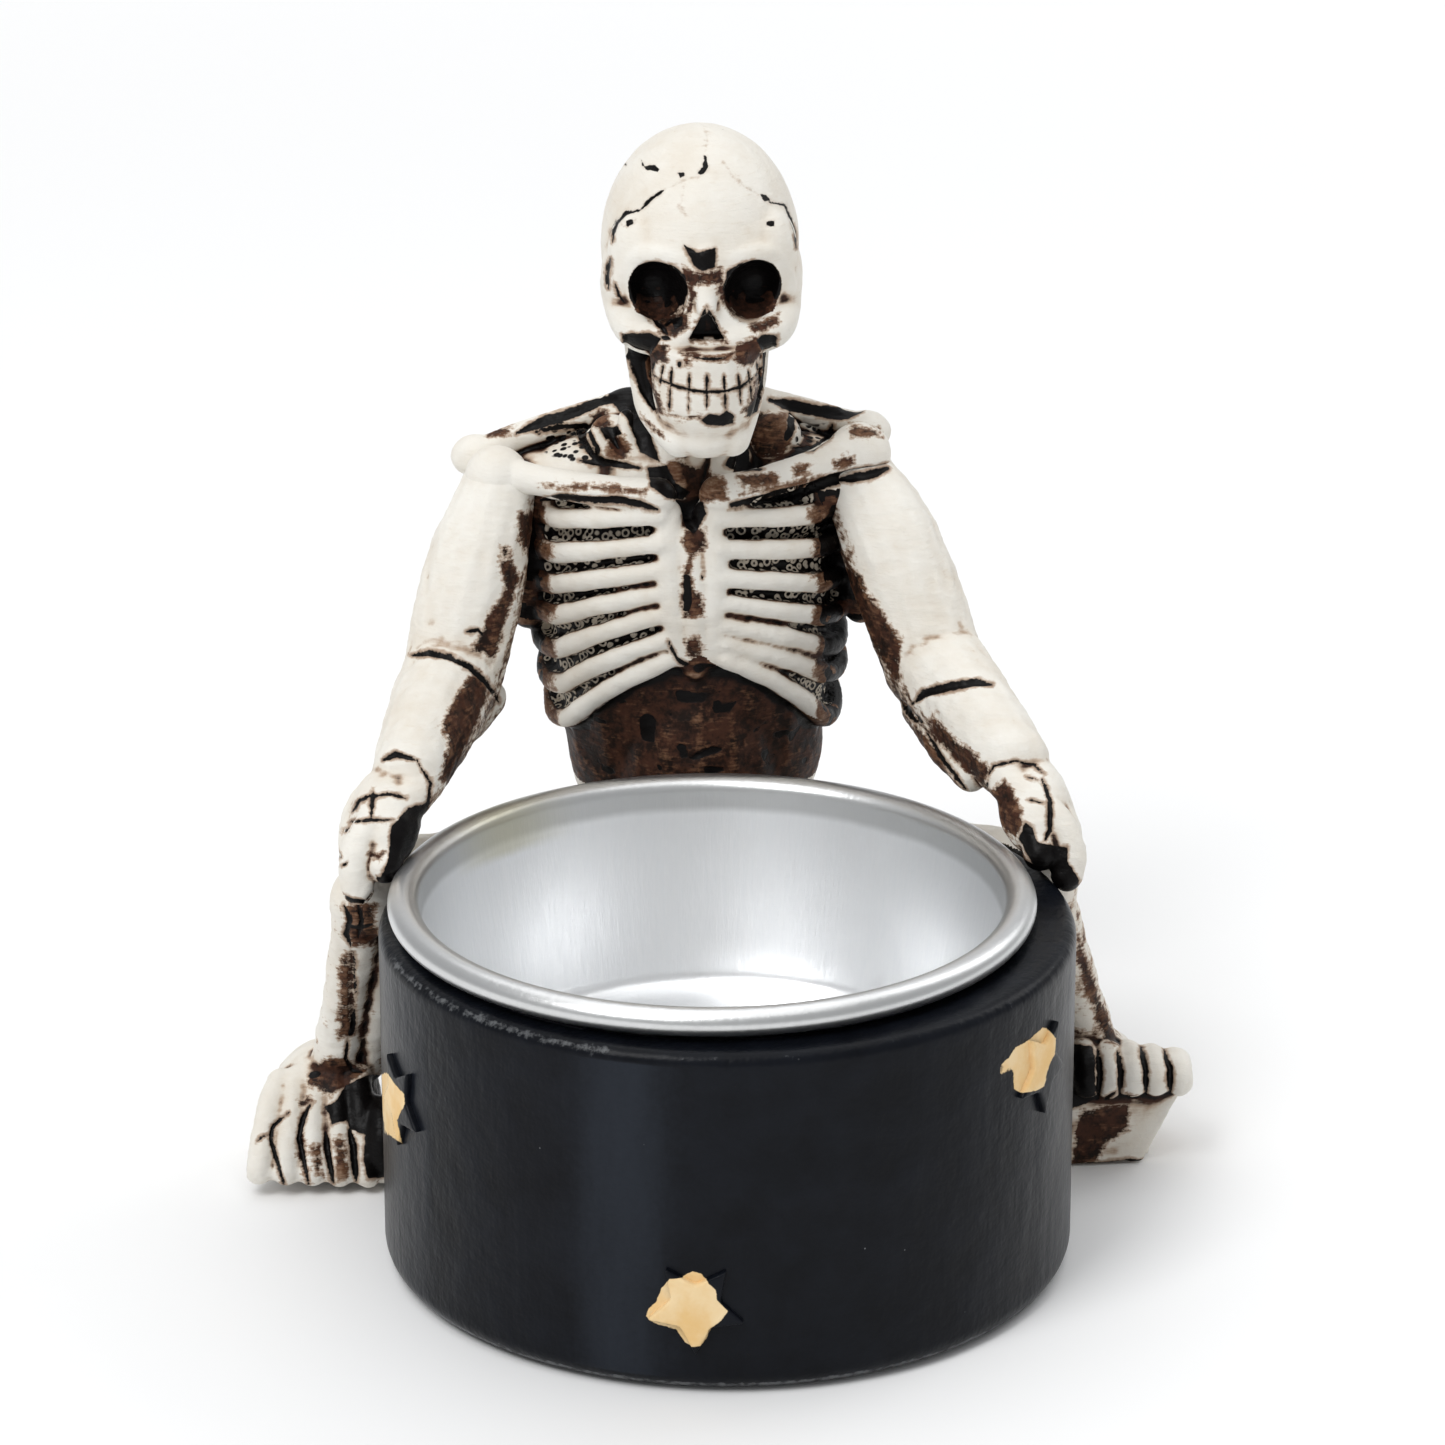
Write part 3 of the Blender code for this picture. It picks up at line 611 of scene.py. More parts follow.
    def fused(
        self, name: str, detail: float, hollow: "Clay | None" = None, ease: int = 2, apart: bool = False
    ) -> Skin:
        """One fine skin over all the shapes.

        Args:
            name: the mesh's name.
            detail: the size of its faces, millimetres.
            hollow: shapes cut out of it.
            ease: how much its creases are softened.
            apart: whether the shapes stand apart and are all kept.

        Returns:
            The skin.
        """
        rough = linked(name, self.mesh(name))
        cutter = linked("hollow", hollow.mesh("hollow")) if hollow else None
        if cutter:
            first = rough.modifiers.new("first", "REMESH")
            first.mode = "VOXEL"
            first.voxel_size = detail * 1.8 * MM
            cut = rough.modifiers.new("cut", "BOOLEAN")
            cut.operation = "DIFFERENCE"
            cut.object = cutter
            cut.solver = "EXACT"
            cut.use_self = True
        skin = rough.modifiers.new("skin", "REMESH")
        skin.mode = "VOXEL"
        skin.voxel_size = detail * MM
        made = baked(rough)
        if cutter:
            bpy.data.objects.remove(cutter)
        if not apart:
            self.keep_largest(made)
        fused = Skin(made)
        fused.ease(ease)
        LOG.info("%s: %d points", name, fused.count)
        return fused

    @staticmethod
    def keep_largest(mesh: bpy.types.Mesh) -> None:
        """Drops the small shells that fusing leaves inside.

        Args:
            mesh: changed in place.
        """
        ends = np.empty(len(mesh.edges) * 2, np.int32)
        mesh.edges.foreach_get("vertices", ends)
        first, second = ends.reshape(-1, 2).T
        label = np.arange(len(mesh.vertices))
        while True:
            least = np.minimum(label[first], label[second])
            after = label.copy()
            np.minimum.at(after, first, least)
            np.minimum.at(after, second, least)
            after = after[after]
            if (after == label).all():
                break
            label = after
        names, sizes = np.unique(label, return_counts=True)
        drop = np.flatnonzero(label != names[sizes.argmax()])
        if len(drop):
            bm = bmesh.new()
            bm.from_mesh(mesh)
            bm.verts.ensure_lookup_table()
            bmesh.ops.delete(bm, geom=[bm.verts[i] for i in drop], context="VERTS")
            bm.to_mesh(mesh)
            bm.free()


class Value:
    """A shader socket that can be used in sums."""

    def __init__(self, graph: "Graph", socket: bpy.types.NodeSocket) -> None:
        """Wraps an output socket of a node tree."""
        self.graph = graph
        self.socket = socket

    def maths(self, kind: str, *others: "Value | float", swap: bool = False) -> "Value":
        """A Math node on this value.

        Args:
            kind: the operation.
            *others: its other inputs.
            swap: whether this value comes last.

        Returns:
            The result.
        """
        inputs = (*others, self) if swap else (self, *others)
        node = self.graph.add("ShaderNodeMath", {"operation": kind}, dict(enumerate(inputs)))
        return Value(self.graph, node.outputs[0])

    def __add__(self, other: "Value | float") -> "Value":
        """This value plus another."""
        return self.maths("ADD", other)

    def __radd__(self, other: float) -> "Value":
        """Another number plus this value."""
        return self.maths("ADD", other)

    def __sub__(self, other: "Value | float") -> "Value":
        """This value less another."""
        return self.maths("SUBTRACT", other)

    def __rsub__(self, other: float) -> "Value":
        """Another number less this value."""
        return self.maths("SUBTRACT", other, swap=True)

    def __mul__(self, other: "Value | float") -> "Value":
        """This value times another."""
        return self.maths("MULTIPLY", other)

    def __rmul__(self, other: float) -> "Value":
        """Another number times this value."""
        return self.maths("MULTIPLY", other)

    def __truediv__(self, other: "Value | float") -> "Value":
        """This value over another."""
        return self.maths("DIVIDE", other)

    def __rtruediv__(self, other: float) -> "Value":
        """Another number over this value."""
        return self.maths("DIVIDE", other, swap=True)

    def __neg__(self) -> "Value":
        """This value turned about 0."""
        return self.maths("MULTIPLY", -1.0)

    def most(self, other: "Value | float") -> "Value":
        """The larger of this value and another."""
        return self.maths("MAXIMUM", other)

    def ramp(self, low: float, high: float) -> "Value":
        """A smooth step.

        Args:
            low: where it starts to rise from 0.
            high: where it reaches 1.

        Returns:
            The step.
        """
        settings = {"interpolation_type": "SMOOTHSTEP", "clamp": True}
        node = self.graph.add("ShaderNodeMapRange", settings, {"Value": self, "From Min": low, "From Max": high})
        return Value(self.graph, node.outputs["Result"])


class Graph:
    """A material's node tree."""

    def __init__(self, name: str) -> None:
        """Starts a material.

        Args:
            name: its name.
        """
        self.material = bpy.data.materials.new(name)
        self.material.use_nodes = True
        self.tree = self.material.node_tree
        self.shader = self.tree.nodes["Principled BSDF"]
        self.place = self.add("ShaderNodeTexCoord").outputs["Object"]

    def add(self, kind: str, settings: dict | None = None, inputs: dict | None = None) -> bpy.types.Node:
        """Makes a node.

        Args:
            kind: its type.
            settings: its own properties.
            inputs: its sockets by name or number, each a value, a socket or a constant.

        Returns:
            The node.
        """
        node = self.tree.nodes.new(kind)
        for name, value in (settings or {}).items():
            setattr(node, name, value)
        for name, value in (inputs or {}).items():
            self.feed(node.inputs[name], value)
        return node

    def feed(self, socket: bpy.types.NodeSocket, value: "Value | bpy.types.NodeSocket | float | tuple") -> None:
        """Links or sets an input.

        Args:
            socket: the input.
            value: what goes in.
        """
        if isinstance(value, Value):
            self.tree.links.new(value.socket, socket)
        elif isinstance(value, bpy.types.NodeSocket):
            self.tree.links.new(value, socket)
        else:
            socket.default_value = value

    def layer(self, name: str) -> Value:
        """A layer painted on the mesh."""
        return Value(self, self.add("ShaderNodeAttribute", {"attribute_name": name}).outputs["Fac"])

    def stretched(self, x: float, y: float, z: float) -> bpy.types.NodeSocket:
        """Coordinates for a pattern of this size along each axis, in millimetres."""
        scale = (1 / (x * MM), 1 / (y * MM), 1 / (z * MM))
        return self.add("ShaderNodeMapping", None, {"Vector": self.place, "Scale": scale}).outputs[0]

    def noise(self, x: float, y: float = 0.0, z: float = 0.0, detail: float = 4.0) -> Value:
        """Noise about 0, mostly within 0.5 of it.

        Args:
            x: its size along X, millimetres.
            y: along Y, or 0 for the same.
            z: along Z, or 0 for the same.
            detail: how many finer layers.

        Returns:
            The noise.
        """
        where = self.stretched(x, y or x, z or x)
        inputs = {"Vector": where, "Scale": 1.0, "Detail": detail, "Roughness": 0.6}
        return (Value(self, self.add("ShaderNodeTexNoise", None, inputs).outputs["Fac"]) - 0.5) * 1.6

    def cells(self, size: float) -> Value:
        """Distance to the nearest of a scatter of points.

        Args:
            size: their spacing, millimetres.

        Returns:
            The distance, as a share of the spacing.
        """
        where = self.stretched(size, size, size)
        node = self.add("ShaderNodeTexVoronoi", {"feature": "F1"}, {"Vector": where, "Scale": 1.0})
        return Value(self, node.outputs["Distance"])

    def colour(self, share: Value, low: "tuple | Value", high: "tuple | Value") -> Value:
        """A blend of two colours.

        Args:
            share: 0 for the first, 1 for the second.
            low: the first, as red, green and blue, or a value.
            high: the second.

        Returns:
            The blend.
        """
        ends = [end if isinstance(end, Value) else (*end, 1.0) for end in (low, high)]
        node = self.add("ShaderNodeMix", {"data_type": "RGBA"}, {0: share, 6: ends[0], 7: ends[1]})
        return Value(self, node.outputs[2])

    def bump(self, height: Value, size: float) -> Value:
        """A normal with small relief, which is so many millimetres high where the pattern is 1."""
        inputs = {"Height": height, "Distance": size * MM, "Strength": 1.0}
        return Value(self, self.add("ShaderNodeBump", None, inputs).outputs[0])

    def shade(self, **inputs: "Value | float | tuple") -> bpy.types.Material:
        """Feeds the shader.

        Args:
            **inputs: the shader's sockets, with _ for a space.

        Returns:
            The finished material.
        """
        for name, value in inputs.items():
            self.feed(self.shader.inputs[name.replace("_", " ").title().replace("Ior", "IOR")], value)
        return self.material


@dataclass(frozen=True)
class AgedBone:
    """Ivory paint over cast resin, washed with brown and with black left in the hollows, with painted shade: cream in
    the broad hollows and darker undersides.
    """

    name: str = "aged_bone"
    ivory: tuple = (0.83, 0.805, 0.745)
    cream: tuple = (0.68, 0.60, 0.49)
    tan: tuple = (0.43, 0.30, 0.205)
    umber: tuple = (0.19, 0.095, 0.052)
    wash: tuple = (0.060, 0.024, 0.014)
    dark: tuple = (0.013, 0.007, 0.005)
    ink: tuple = (0.0035, 0.0028, 0.0028)
    ink_depth: float = 0.24
    wash_depth: float = 0.09

    def material(self) -> bpy.types.Material:
        """Makes the material.

        Returns:
            The material.
        """
        g = Graph(self.name)
        grain, cloud, broad = g.noise(0.45), g.noise(1.6), g.noise(5.0)
        hatch = g.noise(1.3, 1.3, 0.2, 3.0)
        # the hollow layer holds painted shade on undersides as well as the hollows
        depth = -g.layer("hollow")
        fine = -g.layer("relief")
        bare = g.layer(Ink.BARE.value).ramp(-0.3, 0.3)
        beads = g.layer(Ink.BEADS.value).ramp(-0.05, 0.1)
        pits = g.layer(Ink.PITS.value).ramp(-0.1, 0.1)
        cell = g.cells(0.64)
        ring = cell.ramp(0.20, 0.32) * (1.0 - cell.ramp(0.48, 0.60)) * beads
        hole = (1.0 - cell.ramp(0.34, 0.46)) * pits
        drawn = g.layer(Ink.BLACK.value) + grain * 0.18 + cloud * 0.12
        # brown settles in shallow hollows and, as painted shade, on undersides; it is hatched at its edges and rings
        # the black
        settled = depth + fine * 0.8 - self.wash_depth + cloud * 0.14 + hatch * 0.08
        painted = g.layer(Ink.BROWN.value) + cloud * 0.55 + grain * 0.60 + hatch * 0.45
        fringe = (drawn + cloud * 0.30 + hatch * 0.2).ramp(-0.34, 0.10) * 0.6
        brown = settled.ramp(-0.12, 0.22).most(painted.ramp(-0.32, 0.34) * 0.94).most(fringe)
        # black fills what is deepest
        deepest = depth + fine * 0.6 - self.ink_depth + cloud * 0.10 + grain * 0.12
        black = deepest.ramp(-0.02, 0.10) * (1.0 - ring * 0.95) * (1.0 - bare)
        black = black.most(drawn.ramp(-0.03, 0.03)).most(hole)
        aged = broad.ramp(-0.35, 0.5) * 0.5 + cloud.ramp(0.0, 0.6) * 0.25 + hatch.ramp(0.1, 0.5) * 0.3
        # painted shade: the broad hollows turn cream
        tone = g.colour(aged + depth.ramp(-0.15, 0.10) * 0.35, self.ivory, self.cream)
        speck = (g.noise(0.7, detail=2.0) - 0.47).ramp(0.0, 0.08)
        tone = g.colour(speck * 0.5, tone, self.wash)
        # the stain is rubbed thin on whatever stands proud
        proud = grain * 0.10 + hatch * 0.12 - fine
        stain = g.colour((cloud + grain * 0.8).ramp(-0.30, 0.30), self.dark, self.wash)
        stain = g.colour(proud.ramp(0.01, 0.09) * 0.75, stain, self.umber)
        stain = g.colour(proud.ramp(0.07, 0.16) * 0.7, stain, self.tan)
        covered = brown * (1.0 - bare * 0.7)
        tone = g.colour(covered.ramp(0.02, 0.40) * 0.8, tone, self.tan)
        tone = g.colour(covered.ramp(0.30, 0.80), tone, stain)
        tone = g.colour(ring, tone, self.cream)
        tone = g.colour(black, tone, self.ink)
        height = grain * 0.45 + hatch * 0.35 - hole * 1.2 + ring * 1.5 - black * 0.5 - brown * 0.25
        return g.shade(
            base_color=tone,
            roughness=0.50 - black * 0.14 + grain * 0.08,
            specular_ior_level=0.12,
            normal=g.bump(height, 0.08),
        )


@dataclass(frozen=True)
class PotPaint:
    """Blue-black semi-gloss paint with a few specks, worn at its foot, a painted highlight along its upper edge, a
    painted sheen in upright strips, and pale gold on the stars.
    """

    name: str = "pot_paint"
    black: tuple = (0.0026, 0.0032, 0.0050)
    slate: tuple = (0.0060, 0.0074, 0.0112)
    sheen_tone: tuple = (0.017, 0.021, 0.029)
    gold: tuple = (0.82, 0.54, 0.23)
    pale: tuple = (0.90, 0.70, 0.42)
    bare: tuple = (0.30, 0.31, 0.32)
    soil: tuple = (0.30, 0.15, 0.05)

    def material(self) -> bpy.types.Material:
        """Makes the material.

        Returns:
            The material.
        """
        g = Graph(self.name)
        grain, cloud = g.noise(0.5), g.noise(4.0)
        sweep = g.noise(2.2, 2.2, 14.0, 3.0)
        gold = (g.layer(Ink.GOLD.value) + grain * 0.12).ramp(-0.03, 0.04)
        # the worn layer holds wear at the foot and a painted highlight along the upper edge; the specks are dust
        worn = (g.layer("worn") + grain * 0.7 + g.noise(2.0) * 0.6).ramp(0.45, 0.85)
        speck = (1.0 - g.cells(2.3).ramp(0.02, 0.035)) * g.noise(6.0).ramp(0.05, 0.2)
        tone = g.colour(cloud.ramp(-0.4, 0.5), self.black, self.slate)
        # painted sheen: lighter upright strips on the wall, where reflections fall
        painted_sheen = g.layer("painted_sheen") + sweep * 0.35 + grain * 0.15
        tone = g.colour(painted_sheen.ramp(0.15, 1.1), tone, self.sheen_tone)
        tone = g.colour((worn * 0.35).most(speck * 0.5), tone, self.bare)
        leaf = g.colour(cloud.ramp(-0.3, 0.3), self.gold, self.pale)
        leaf = g.colour((g.noise(0.35, detail=2.0) - 0.42).ramp(0.0, 0.1) * 0.6, leaf, self.soil)
        tone = g.colour(gold, tone, leaf)
        height = cloud * 2.2 + sweep * 1.0 + grain * 0.15 + gold * 0.7
        return g.shade(
            base_color=tone,
            roughness=0.33 + gold * 0.16 + grain * 0.05 + sweep * 0.06,
            specular_ior_level=0.12,
            normal=g.bump(height, 0.05),
        )


@dataclass(frozen=True)
class SpunMetal:
    """Thin aluminium with the fine upright grain of its drawing and a few scratches, painted shade on its rolled rim
    and a painted yellow reflection at the back left.
    """

    name: str = "spun_metal"
    bright: tuple = (0.97, 0.975, 0.98)
    dull: tuple = (0.90, 0.915, 0.93)
    rim_shade_grey: tuple = (0.56, 0.565, 0.56)
    yellow: tuple = (0.62, 0.58, 0.36)

    def material(self) -> bpy.types.Material:
        """Makes the material.

        Returns:
            The material.
        """
        g = Graph(self.name)
        drawn, fine = g.noise(0.35, 0.35, 9.0, 3.0), g.noise(0.12, 0.12, 3.0, 2.0)
        cloud, grain = g.noise(5.0), g.noise(0.2)
        yellow_reflection = g.layer("yellow_reflection")
        tone = g.colour(drawn.ramp(-0.5, 0.6) * 0.6 + fine.ramp(-0.2, 0.6) * 0.3, self.bright, self.dull)
        # painted shade: the rolled rim turns grey, most towards its edges
        rim = g.layer("rim")
        tone = g.colour((rim + cloud * 0.3).ramp(0.2, 1.2) * 0.75, tone, self.rim_shade_grey)
        # painted reflection: yellow near the top of the cup at the back left
        tone = g.colour(yellow_reflection.ramp(0.0, 1.0) * 0.5, tone, self.yellow)
        height = drawn * 1.0 + fine * 0.5 + cloud * 2.0 + grain * 0.15
        return g.shade(
            base_color=tone,
            metallic=1.0,
            roughness=0.34 + drawn * 0.10 + cloud * 0.06,
            normal=g.bump(height, 0.010),
        )


@dataclass(frozen=True)
class PlainFloor:
    """A pale matt studio floor that glows more the further it is from the middle, a painted light that makes it fade to
    white in the distance.
    """

    name: str = "pale_floor"
    tone: tuple = (0.94, 0.94, 0.94)
    near: tuple = (0.0, 0.0, 0.0)
    far: tuple = (0.6, 0.6, 0.6)

    def material(self) -> bpy.types.Material:
        """Makes the material.

        Returns:
            The material.
        """
        g = Graph(self.name)
        # painted light: the floor glows, not at all near the middle and more further out
        length = g.add("ShaderNodeVectorMath", {"operation": "LENGTH"}, {0: g.place})
        glow = g.colour(Value(g, length.outputs["Value"]).ramp(0.25, 1.0), self.near, self.far)
        return g.shade(base_color=(*self.tone, 1.0), roughness=0.9, emission_color=glow, emission_strength=1.0)


def show(name: str, mesh: bpy.types.Mesh, finish: bpy.types.Material, node: str) -> None:
    """Puts a finished piece in the scene in place of a CAD node.

    Args:
        name: the piece's name.
        mesh: its mesh.
        finish: its material.
        node: the CAD node that it stands for.
    """
    mesh.materials.clear()
    mesh.materials.append(finish)
    piece = linked(name, mesh)
    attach(piece, "root")
    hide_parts(node)


def shoulder_point(side: Side) -> Vector:
    """The shoulder's place. The one on +X sits higher, further back and closer in.

    Args:
        side: which.

    Returns:
        The middle of its ball.
    """
    if side is Side.LEFT:
        return Vector((-15.0, SIZES.chest_y - 1.8, SIZES.sternum_top))
    return Vector((12.4, SIZES.chest_y - 0.4, SIZES.sternum_top + 0.9))


def elbow_point(side: Side) -> Vector:
    """The elbow's place."""
    return Vector((side.pick(-18.5, 17.6), SIZES.chest_y - 8.0, SIZES.pot_height + 9.6))


def wrist_point(side: Side) -> Vector:
    """The wrist's place on the pot's rim."""
    return Vector((side.value * (SIZES.pot_radius - 3.0) + 0.2, SIZES.pot_radius * 0.526, SIZES.pot_height + 6.4))


def knee_point(side: Side) -> Vector:
    """The knee's place under the hand."""
    out = SIZES.pot_radius + side.pick(0.2, -0.5)
    return Vector((side.value * out, SIZES.pot_radius * 0.458, SIZES.pot_height - 3.0))


@dataclass
class Skull:
    """The head: cranium, brows, cheek bones, jaws with teeth, and its marks."""

    detail: float = 0.125
    socket_middles: tuple = (-3.15, 3.8)
    socket_reach: float = 2.15
    lumps: float = 0.03
    settling: tuple = (90, 12, 0.6)

    def clay(self) -> Clay:
        """Builds the head's solid form.

        Returns:
            The shapes.
        """
        s = SIZES
        clay = Clay()
        half, crown, jaw = s.skull_width / 2, s.skull_top - 8.7, s.jaw_shift
        face, eye, chin = s.face_y, s.eye_z, s.chin_z
        clay.ball((0, s.skull_y, crown), (half, 9.2, 8.7))
        clay.ball((0, s.skull_y - 3.0, crown - 0.6), (half - 0.35, 6.4, 7.2))
        clay.ball((0, face + 3.2, eye - 3.4), (4.6, 3.8, 4.5))
        clay.bone([(0, face + 1.0, eye + 2.4, 1.3), (0, face - 0.3, eye - 0.2, 0.8), (0, face - 0.6, eye - 1.0, 0.75)])
        arch = [(0, face + 1.8, eye - 4.2, 4.05), (0, face + 1.85, eye - 7, 4.0), (0, face + 1.9, chin + 3.0, 3.7)]
        clay.bone([*arch, (0, face + 1.6, chin + 1.2, 2.5)], round_ends=False)
        clay.ball((0, face + 1.2, chin + 1.75), (2.7, 2.3, 1.75))
        clay.ball((jaw, face + 4.4, chin + 3.8), (3.6, 4.2, 2.8))
        for side in Side:
            k = side.value
            clay.ball((k * 2.3, s.skull_y + 0.5, crown + 0.9), (4.4, 6.6, 6.9))
            brow = [(k * 0.7, face + 0.75, eye + 2.1, 0.8), (k * 3.4, face + 1.15, eye + 2.8, 0.85)]
            clay.bone([*brow, (k * 5.6, face + 2.9, eye + 1.9, 0.85), (k * 6.0, face + 3.8, eye - 0.8, 0.9)])
            clay.ball((k * 4.6, face + 4.4, eye + 1.6), (2.3, 3.0, 3.6), (0, 0, -k * 20))
            cheek = [(k * 1.9, face + 0.5, eye - 3.7, 1.2), (k * 4.3, face + 1.1, eye - 3.8, 1.45)]
            clay.bone([*cheek, (k * 5.75, face + 3.5, eye - 3.0, 1.6), (k * 6.4, face + 8.4, eye - 1.6, 1.1)])
            clay.ball((k * (half - 1.25), s.skull_y - 2.6, eye - 0.8), (1.35, 3.4, 3.3))
            ramus = [(k * 4.75 + jaw, s.skull_y - 3.2, eye - 2.6, 1.0)]
            ramus += [(k * 4.1 + jaw, s.skull_y - 4.4, chin + 4.6, 1.05)]
            ramus += [(k * 3.2 + jaw, face + 3.4, chin + 2.2, 1.2), (k * 1.9, face + 0.9, chin + 1.5, 1.4)]
            clay.bone(ramus)
        return clay

    def hollows(self) -> Clay:
        """The eye sockets and the nose.

        Returns:
            What is cut away.
        """
        cut = Clay()
        face, eye = SIZES.face_y, SIZES.eye_z
        for side in Side:
            k = side.value
            cut.ball((k * 3.45, face + 0.4, eye - 0.25), (2.1, 3.6, 2.4), (0, k * 12, -k * 10))
        cut.prism((0, face - 0.4, eye - 2.8), 1.6, 3.0, 3, (90, 0, 0))
        return cut

    @staticmethod
    def teeth() -> tuple[Mark, ...]:
        """The bite line, the gaps between the teeth and the gum lines.

        Returns:
            The marks.
        """
        bite = ((650, 373), (660, 380), (670, 384.5), (688, 390), (707, 392.5), (725, 391.5), (741, 387), (755, 377))
        gaps = [line(*bite, (762, 367), width=0.2, depth=0.2)]
        uprights = ((652, 362, 377), (661, 365, 386), (670, 367, 411), (688.7, 374, 414), (707, 375, 408))
        uprights += ((725, 375, 408), (740, 375, 404), (750.5, 369, 401), (759, 362, 384))
        for x, top, low in uprights:
            lean = (x - 706) * 0.05
            gaps.append(line((x - lean, top), (x, (top + low) / 2), width=0.17, depth=0.2))
            gaps.append(line((x, (top + low) / 2), (x + lean * 0.6, low), width=0.14, depth=0.16))
        return tuple(gaps)

    @staticmethod
    def marks() -> tuple[Mark, ...]:
        """Cracks, chips and stains.

        Returns:
            The marks.
        """
        brown = Ink.BROWN
        return (
            line((665, 189), (652, 198), (640, 210), width=0.22),
            line((640, 210), (626, 213), (617, 222), (613, 232), (612, 243), width=0.28),
            line((699, 175), (684, 181), (665, 189), width=0.09, ink=brown),
            line((723, 162), (734, 177), (745, 187), (759, 195), width=0.1, ink=brown),
            line((769, 202), (785, 205), (790, 218), (795, 232), (796, 248), width=0.17),
            line((704, 128), (708, 137), (705, 152), width=0.09, ink=brown),
            line((684, 186), (681, 205), (686, 216), width=0.09, depth=0.04, ink=brown),
            patch((704, 155), (707, 156), (708, 168), (704, 174), (698, 175), (697, 172), (703, 167)),
            patch((678, 173), (684, 172), (685, 176), (680, 178)),
            patch((641, 159), (645, 166), (654, 165), (660, 169), (658, 173), (648, 170), (642, 166)),
            patch((760, 194), (766, 195), (770, 200), (764, 201)),
            patch((765, 221), (774, 221), (774, 226), (767, 226)),
            patch((626, 221), (633, 219), (633, 224), (627, 226)),
            line((625, 164), (626, 165), width=0.16),
            line((626, 228), (636, 219), width=0.16, ink=brown),
            patch(
                (684, 245), (691, 249), (698, 253), (704, 251), (715, 248), (716, 256), (715, 267), (703, 271),
                (695, 266), (690, 257),
            ),
            patch(
                (631, 290), (634, 273), (643, 265), (659, 262), (675, 266), (685, 276), (688, 291), (684, 304),
                (671, 313), (655, 317), (640, 311), (633, 301),
            ),
            patch(
                (723, 289), (727, 272), (738, 264), (752, 261), (767, 264), (776, 275), (780, 290), (775, 303),
                (761, 313), (746, 314), (733, 308), (726, 300),
            ),
            patch((706, 305), (700, 318), (693, 339), (704, 340), (705, 330), (706, 318)),
            patch((707, 305), (716, 321), (725, 339), (714, 340), (712, 330), (708, 318)),
            line((706, 306), (692, 340), (726, 340), (707, 306), width=0.3, depth=0.0, ink=brown),
            patch((683, 270), (700, 273), (721, 268), (724, 284), (708, 283), (690, 286), (681, 280), ink=brown),
            line((688, 284), (693, 296), (689, 310), (680, 320), width=0.5, depth=0.0, ink=brown),
            line((721, 282), (724, 298), (734, 313), (748, 319), width=0.5, depth=0.0, ink=brown),
            line((641, 314), (652, 318), (668, 316), (684, 307), width=0.45, depth=0.0, ink=brown),
            patch(
                (743, 318), (760, 316), (783, 308), (784, 328), (768, 336), (752, 339), (744, 330),
                ink=brown, faint=0.45,
            ),
            patch((654, 316), (672, 314), (689, 311), (688, 328), (676, 338), (661, 336), ink=brown),
            patch((670, 318), (684, 314), (684, 326), (674, 332), faint=0.1),
            line((653, 319), (662, 327), (667, 334), width=0.36),
            line((664, 327), (671, 320), (678, 323), width=0.28),
            line((661, 337), (670, 339), width=0.36),
            line((610, 257), (607, 275), (608, 289), width=0.26),
            line((615, 284), (619, 296), (625, 303), width=0.16),
            line((681, 353), (700, 357), (713, 359), (725, 358), (734, 352), width=0.34, depth=0.15, ink=brown),
            line((695, 357), (713, 359), (724, 358), width=0.22),
            patch((677, 362), (681, 362), (681, 368), (677, 368)),
            patch((685, 360), (691, 360), (690, 365), (686, 365), ink=brown),
            patch(
                (622, 334), (647, 333), (662, 338), (652, 352), (645, 362), (647, 376), (658, 408), (652, 411),
                (640, 392), (631, 369), (623, 349), depth=0.3,
            ),
            patch(
                (648, 340), (668, 344), (668, 362), (655, 364), (650, 372), (664, 412), (656, 414), (640, 380),
                ink=brown,
            ),
            patch(
                (757, 340), (762, 335), (778, 335), (776, 353), (768, 381), (760, 400), (757, 396), (763, 372),
                (763, 352), depth=0.25,
            ),
            patch((736, 346), (756, 337), (762, 340), (762, 356), (752, 366), (741, 366), (735, 358), ink=brown),
            patch((757, 366), (764, 372), (760, 400), (748, 416), (742, 412), (748, 404), (754, 392), ink=brown),
            patch((758, 395), (764, 388), (757, 412), (747, 417), (748, 409)),
            patch((702, 420), (709, 414), (720, 415), (727, 411), (734, 415), (733, 423), (723, 426), (707, 424)),
            line((668, 414), (684, 418), (702, 416), width=0.22, ink=brown),
            line((640, 414), (652, 428), (668, 440), width=0.14, depth=0.05, ink=brown),
        )

    def build(self, finish: bpy.types.Material) -> None:
        """Makes the piece.

        Args:
            finish: its material.
        """
        skin = self.clay().fused("skull", self.detail, self.hollows(), 3)
        skin.points[:, 0] += SIZES.head_shift
        skin.roughen(self.lumps)
        skin.apply(self.teeth())
        skin.apply(self.marks())
        skin.settle(*self.settling)
        p, eye, face = skin.points, SIZES.eye_z, SIZES.face_y
        black, bare = skin.layer(Ink.BLACK), skin.layer(Ink.BARE)
        # the sockets are black inside, and worn to brown towards their lower edge
        for middle in self.socket_middles:
            span = np.hypot(p[:, 0] - middle, (p[:, 2] - eye + 0.25) * 0.88)
            inside = (span < self.socket_reach) & (p[:, 1] > face + 1.6) & (p[:, 1] < face + 5)
            worn = lattice_noise(p[inside], 0.5) * 0.35 + (p[inside, 2] - eye + 1.3) * 0.4
            black[inside] = np.minimum(np.maximum(worn, -0.25), 0.3)
            skin.layer(Ink.BROWN)[inside] = 0.8
        dome = (p[:, 2] > eye + 3.2) | (p[:, 1] > SIZES.skull_y - 1)
        bare[dome] = np.minimum(p[dome, 2] - eye - 3.2, 1.0)
        skin.finish()
        show("skull", skin.mesh, finish, CASTING)


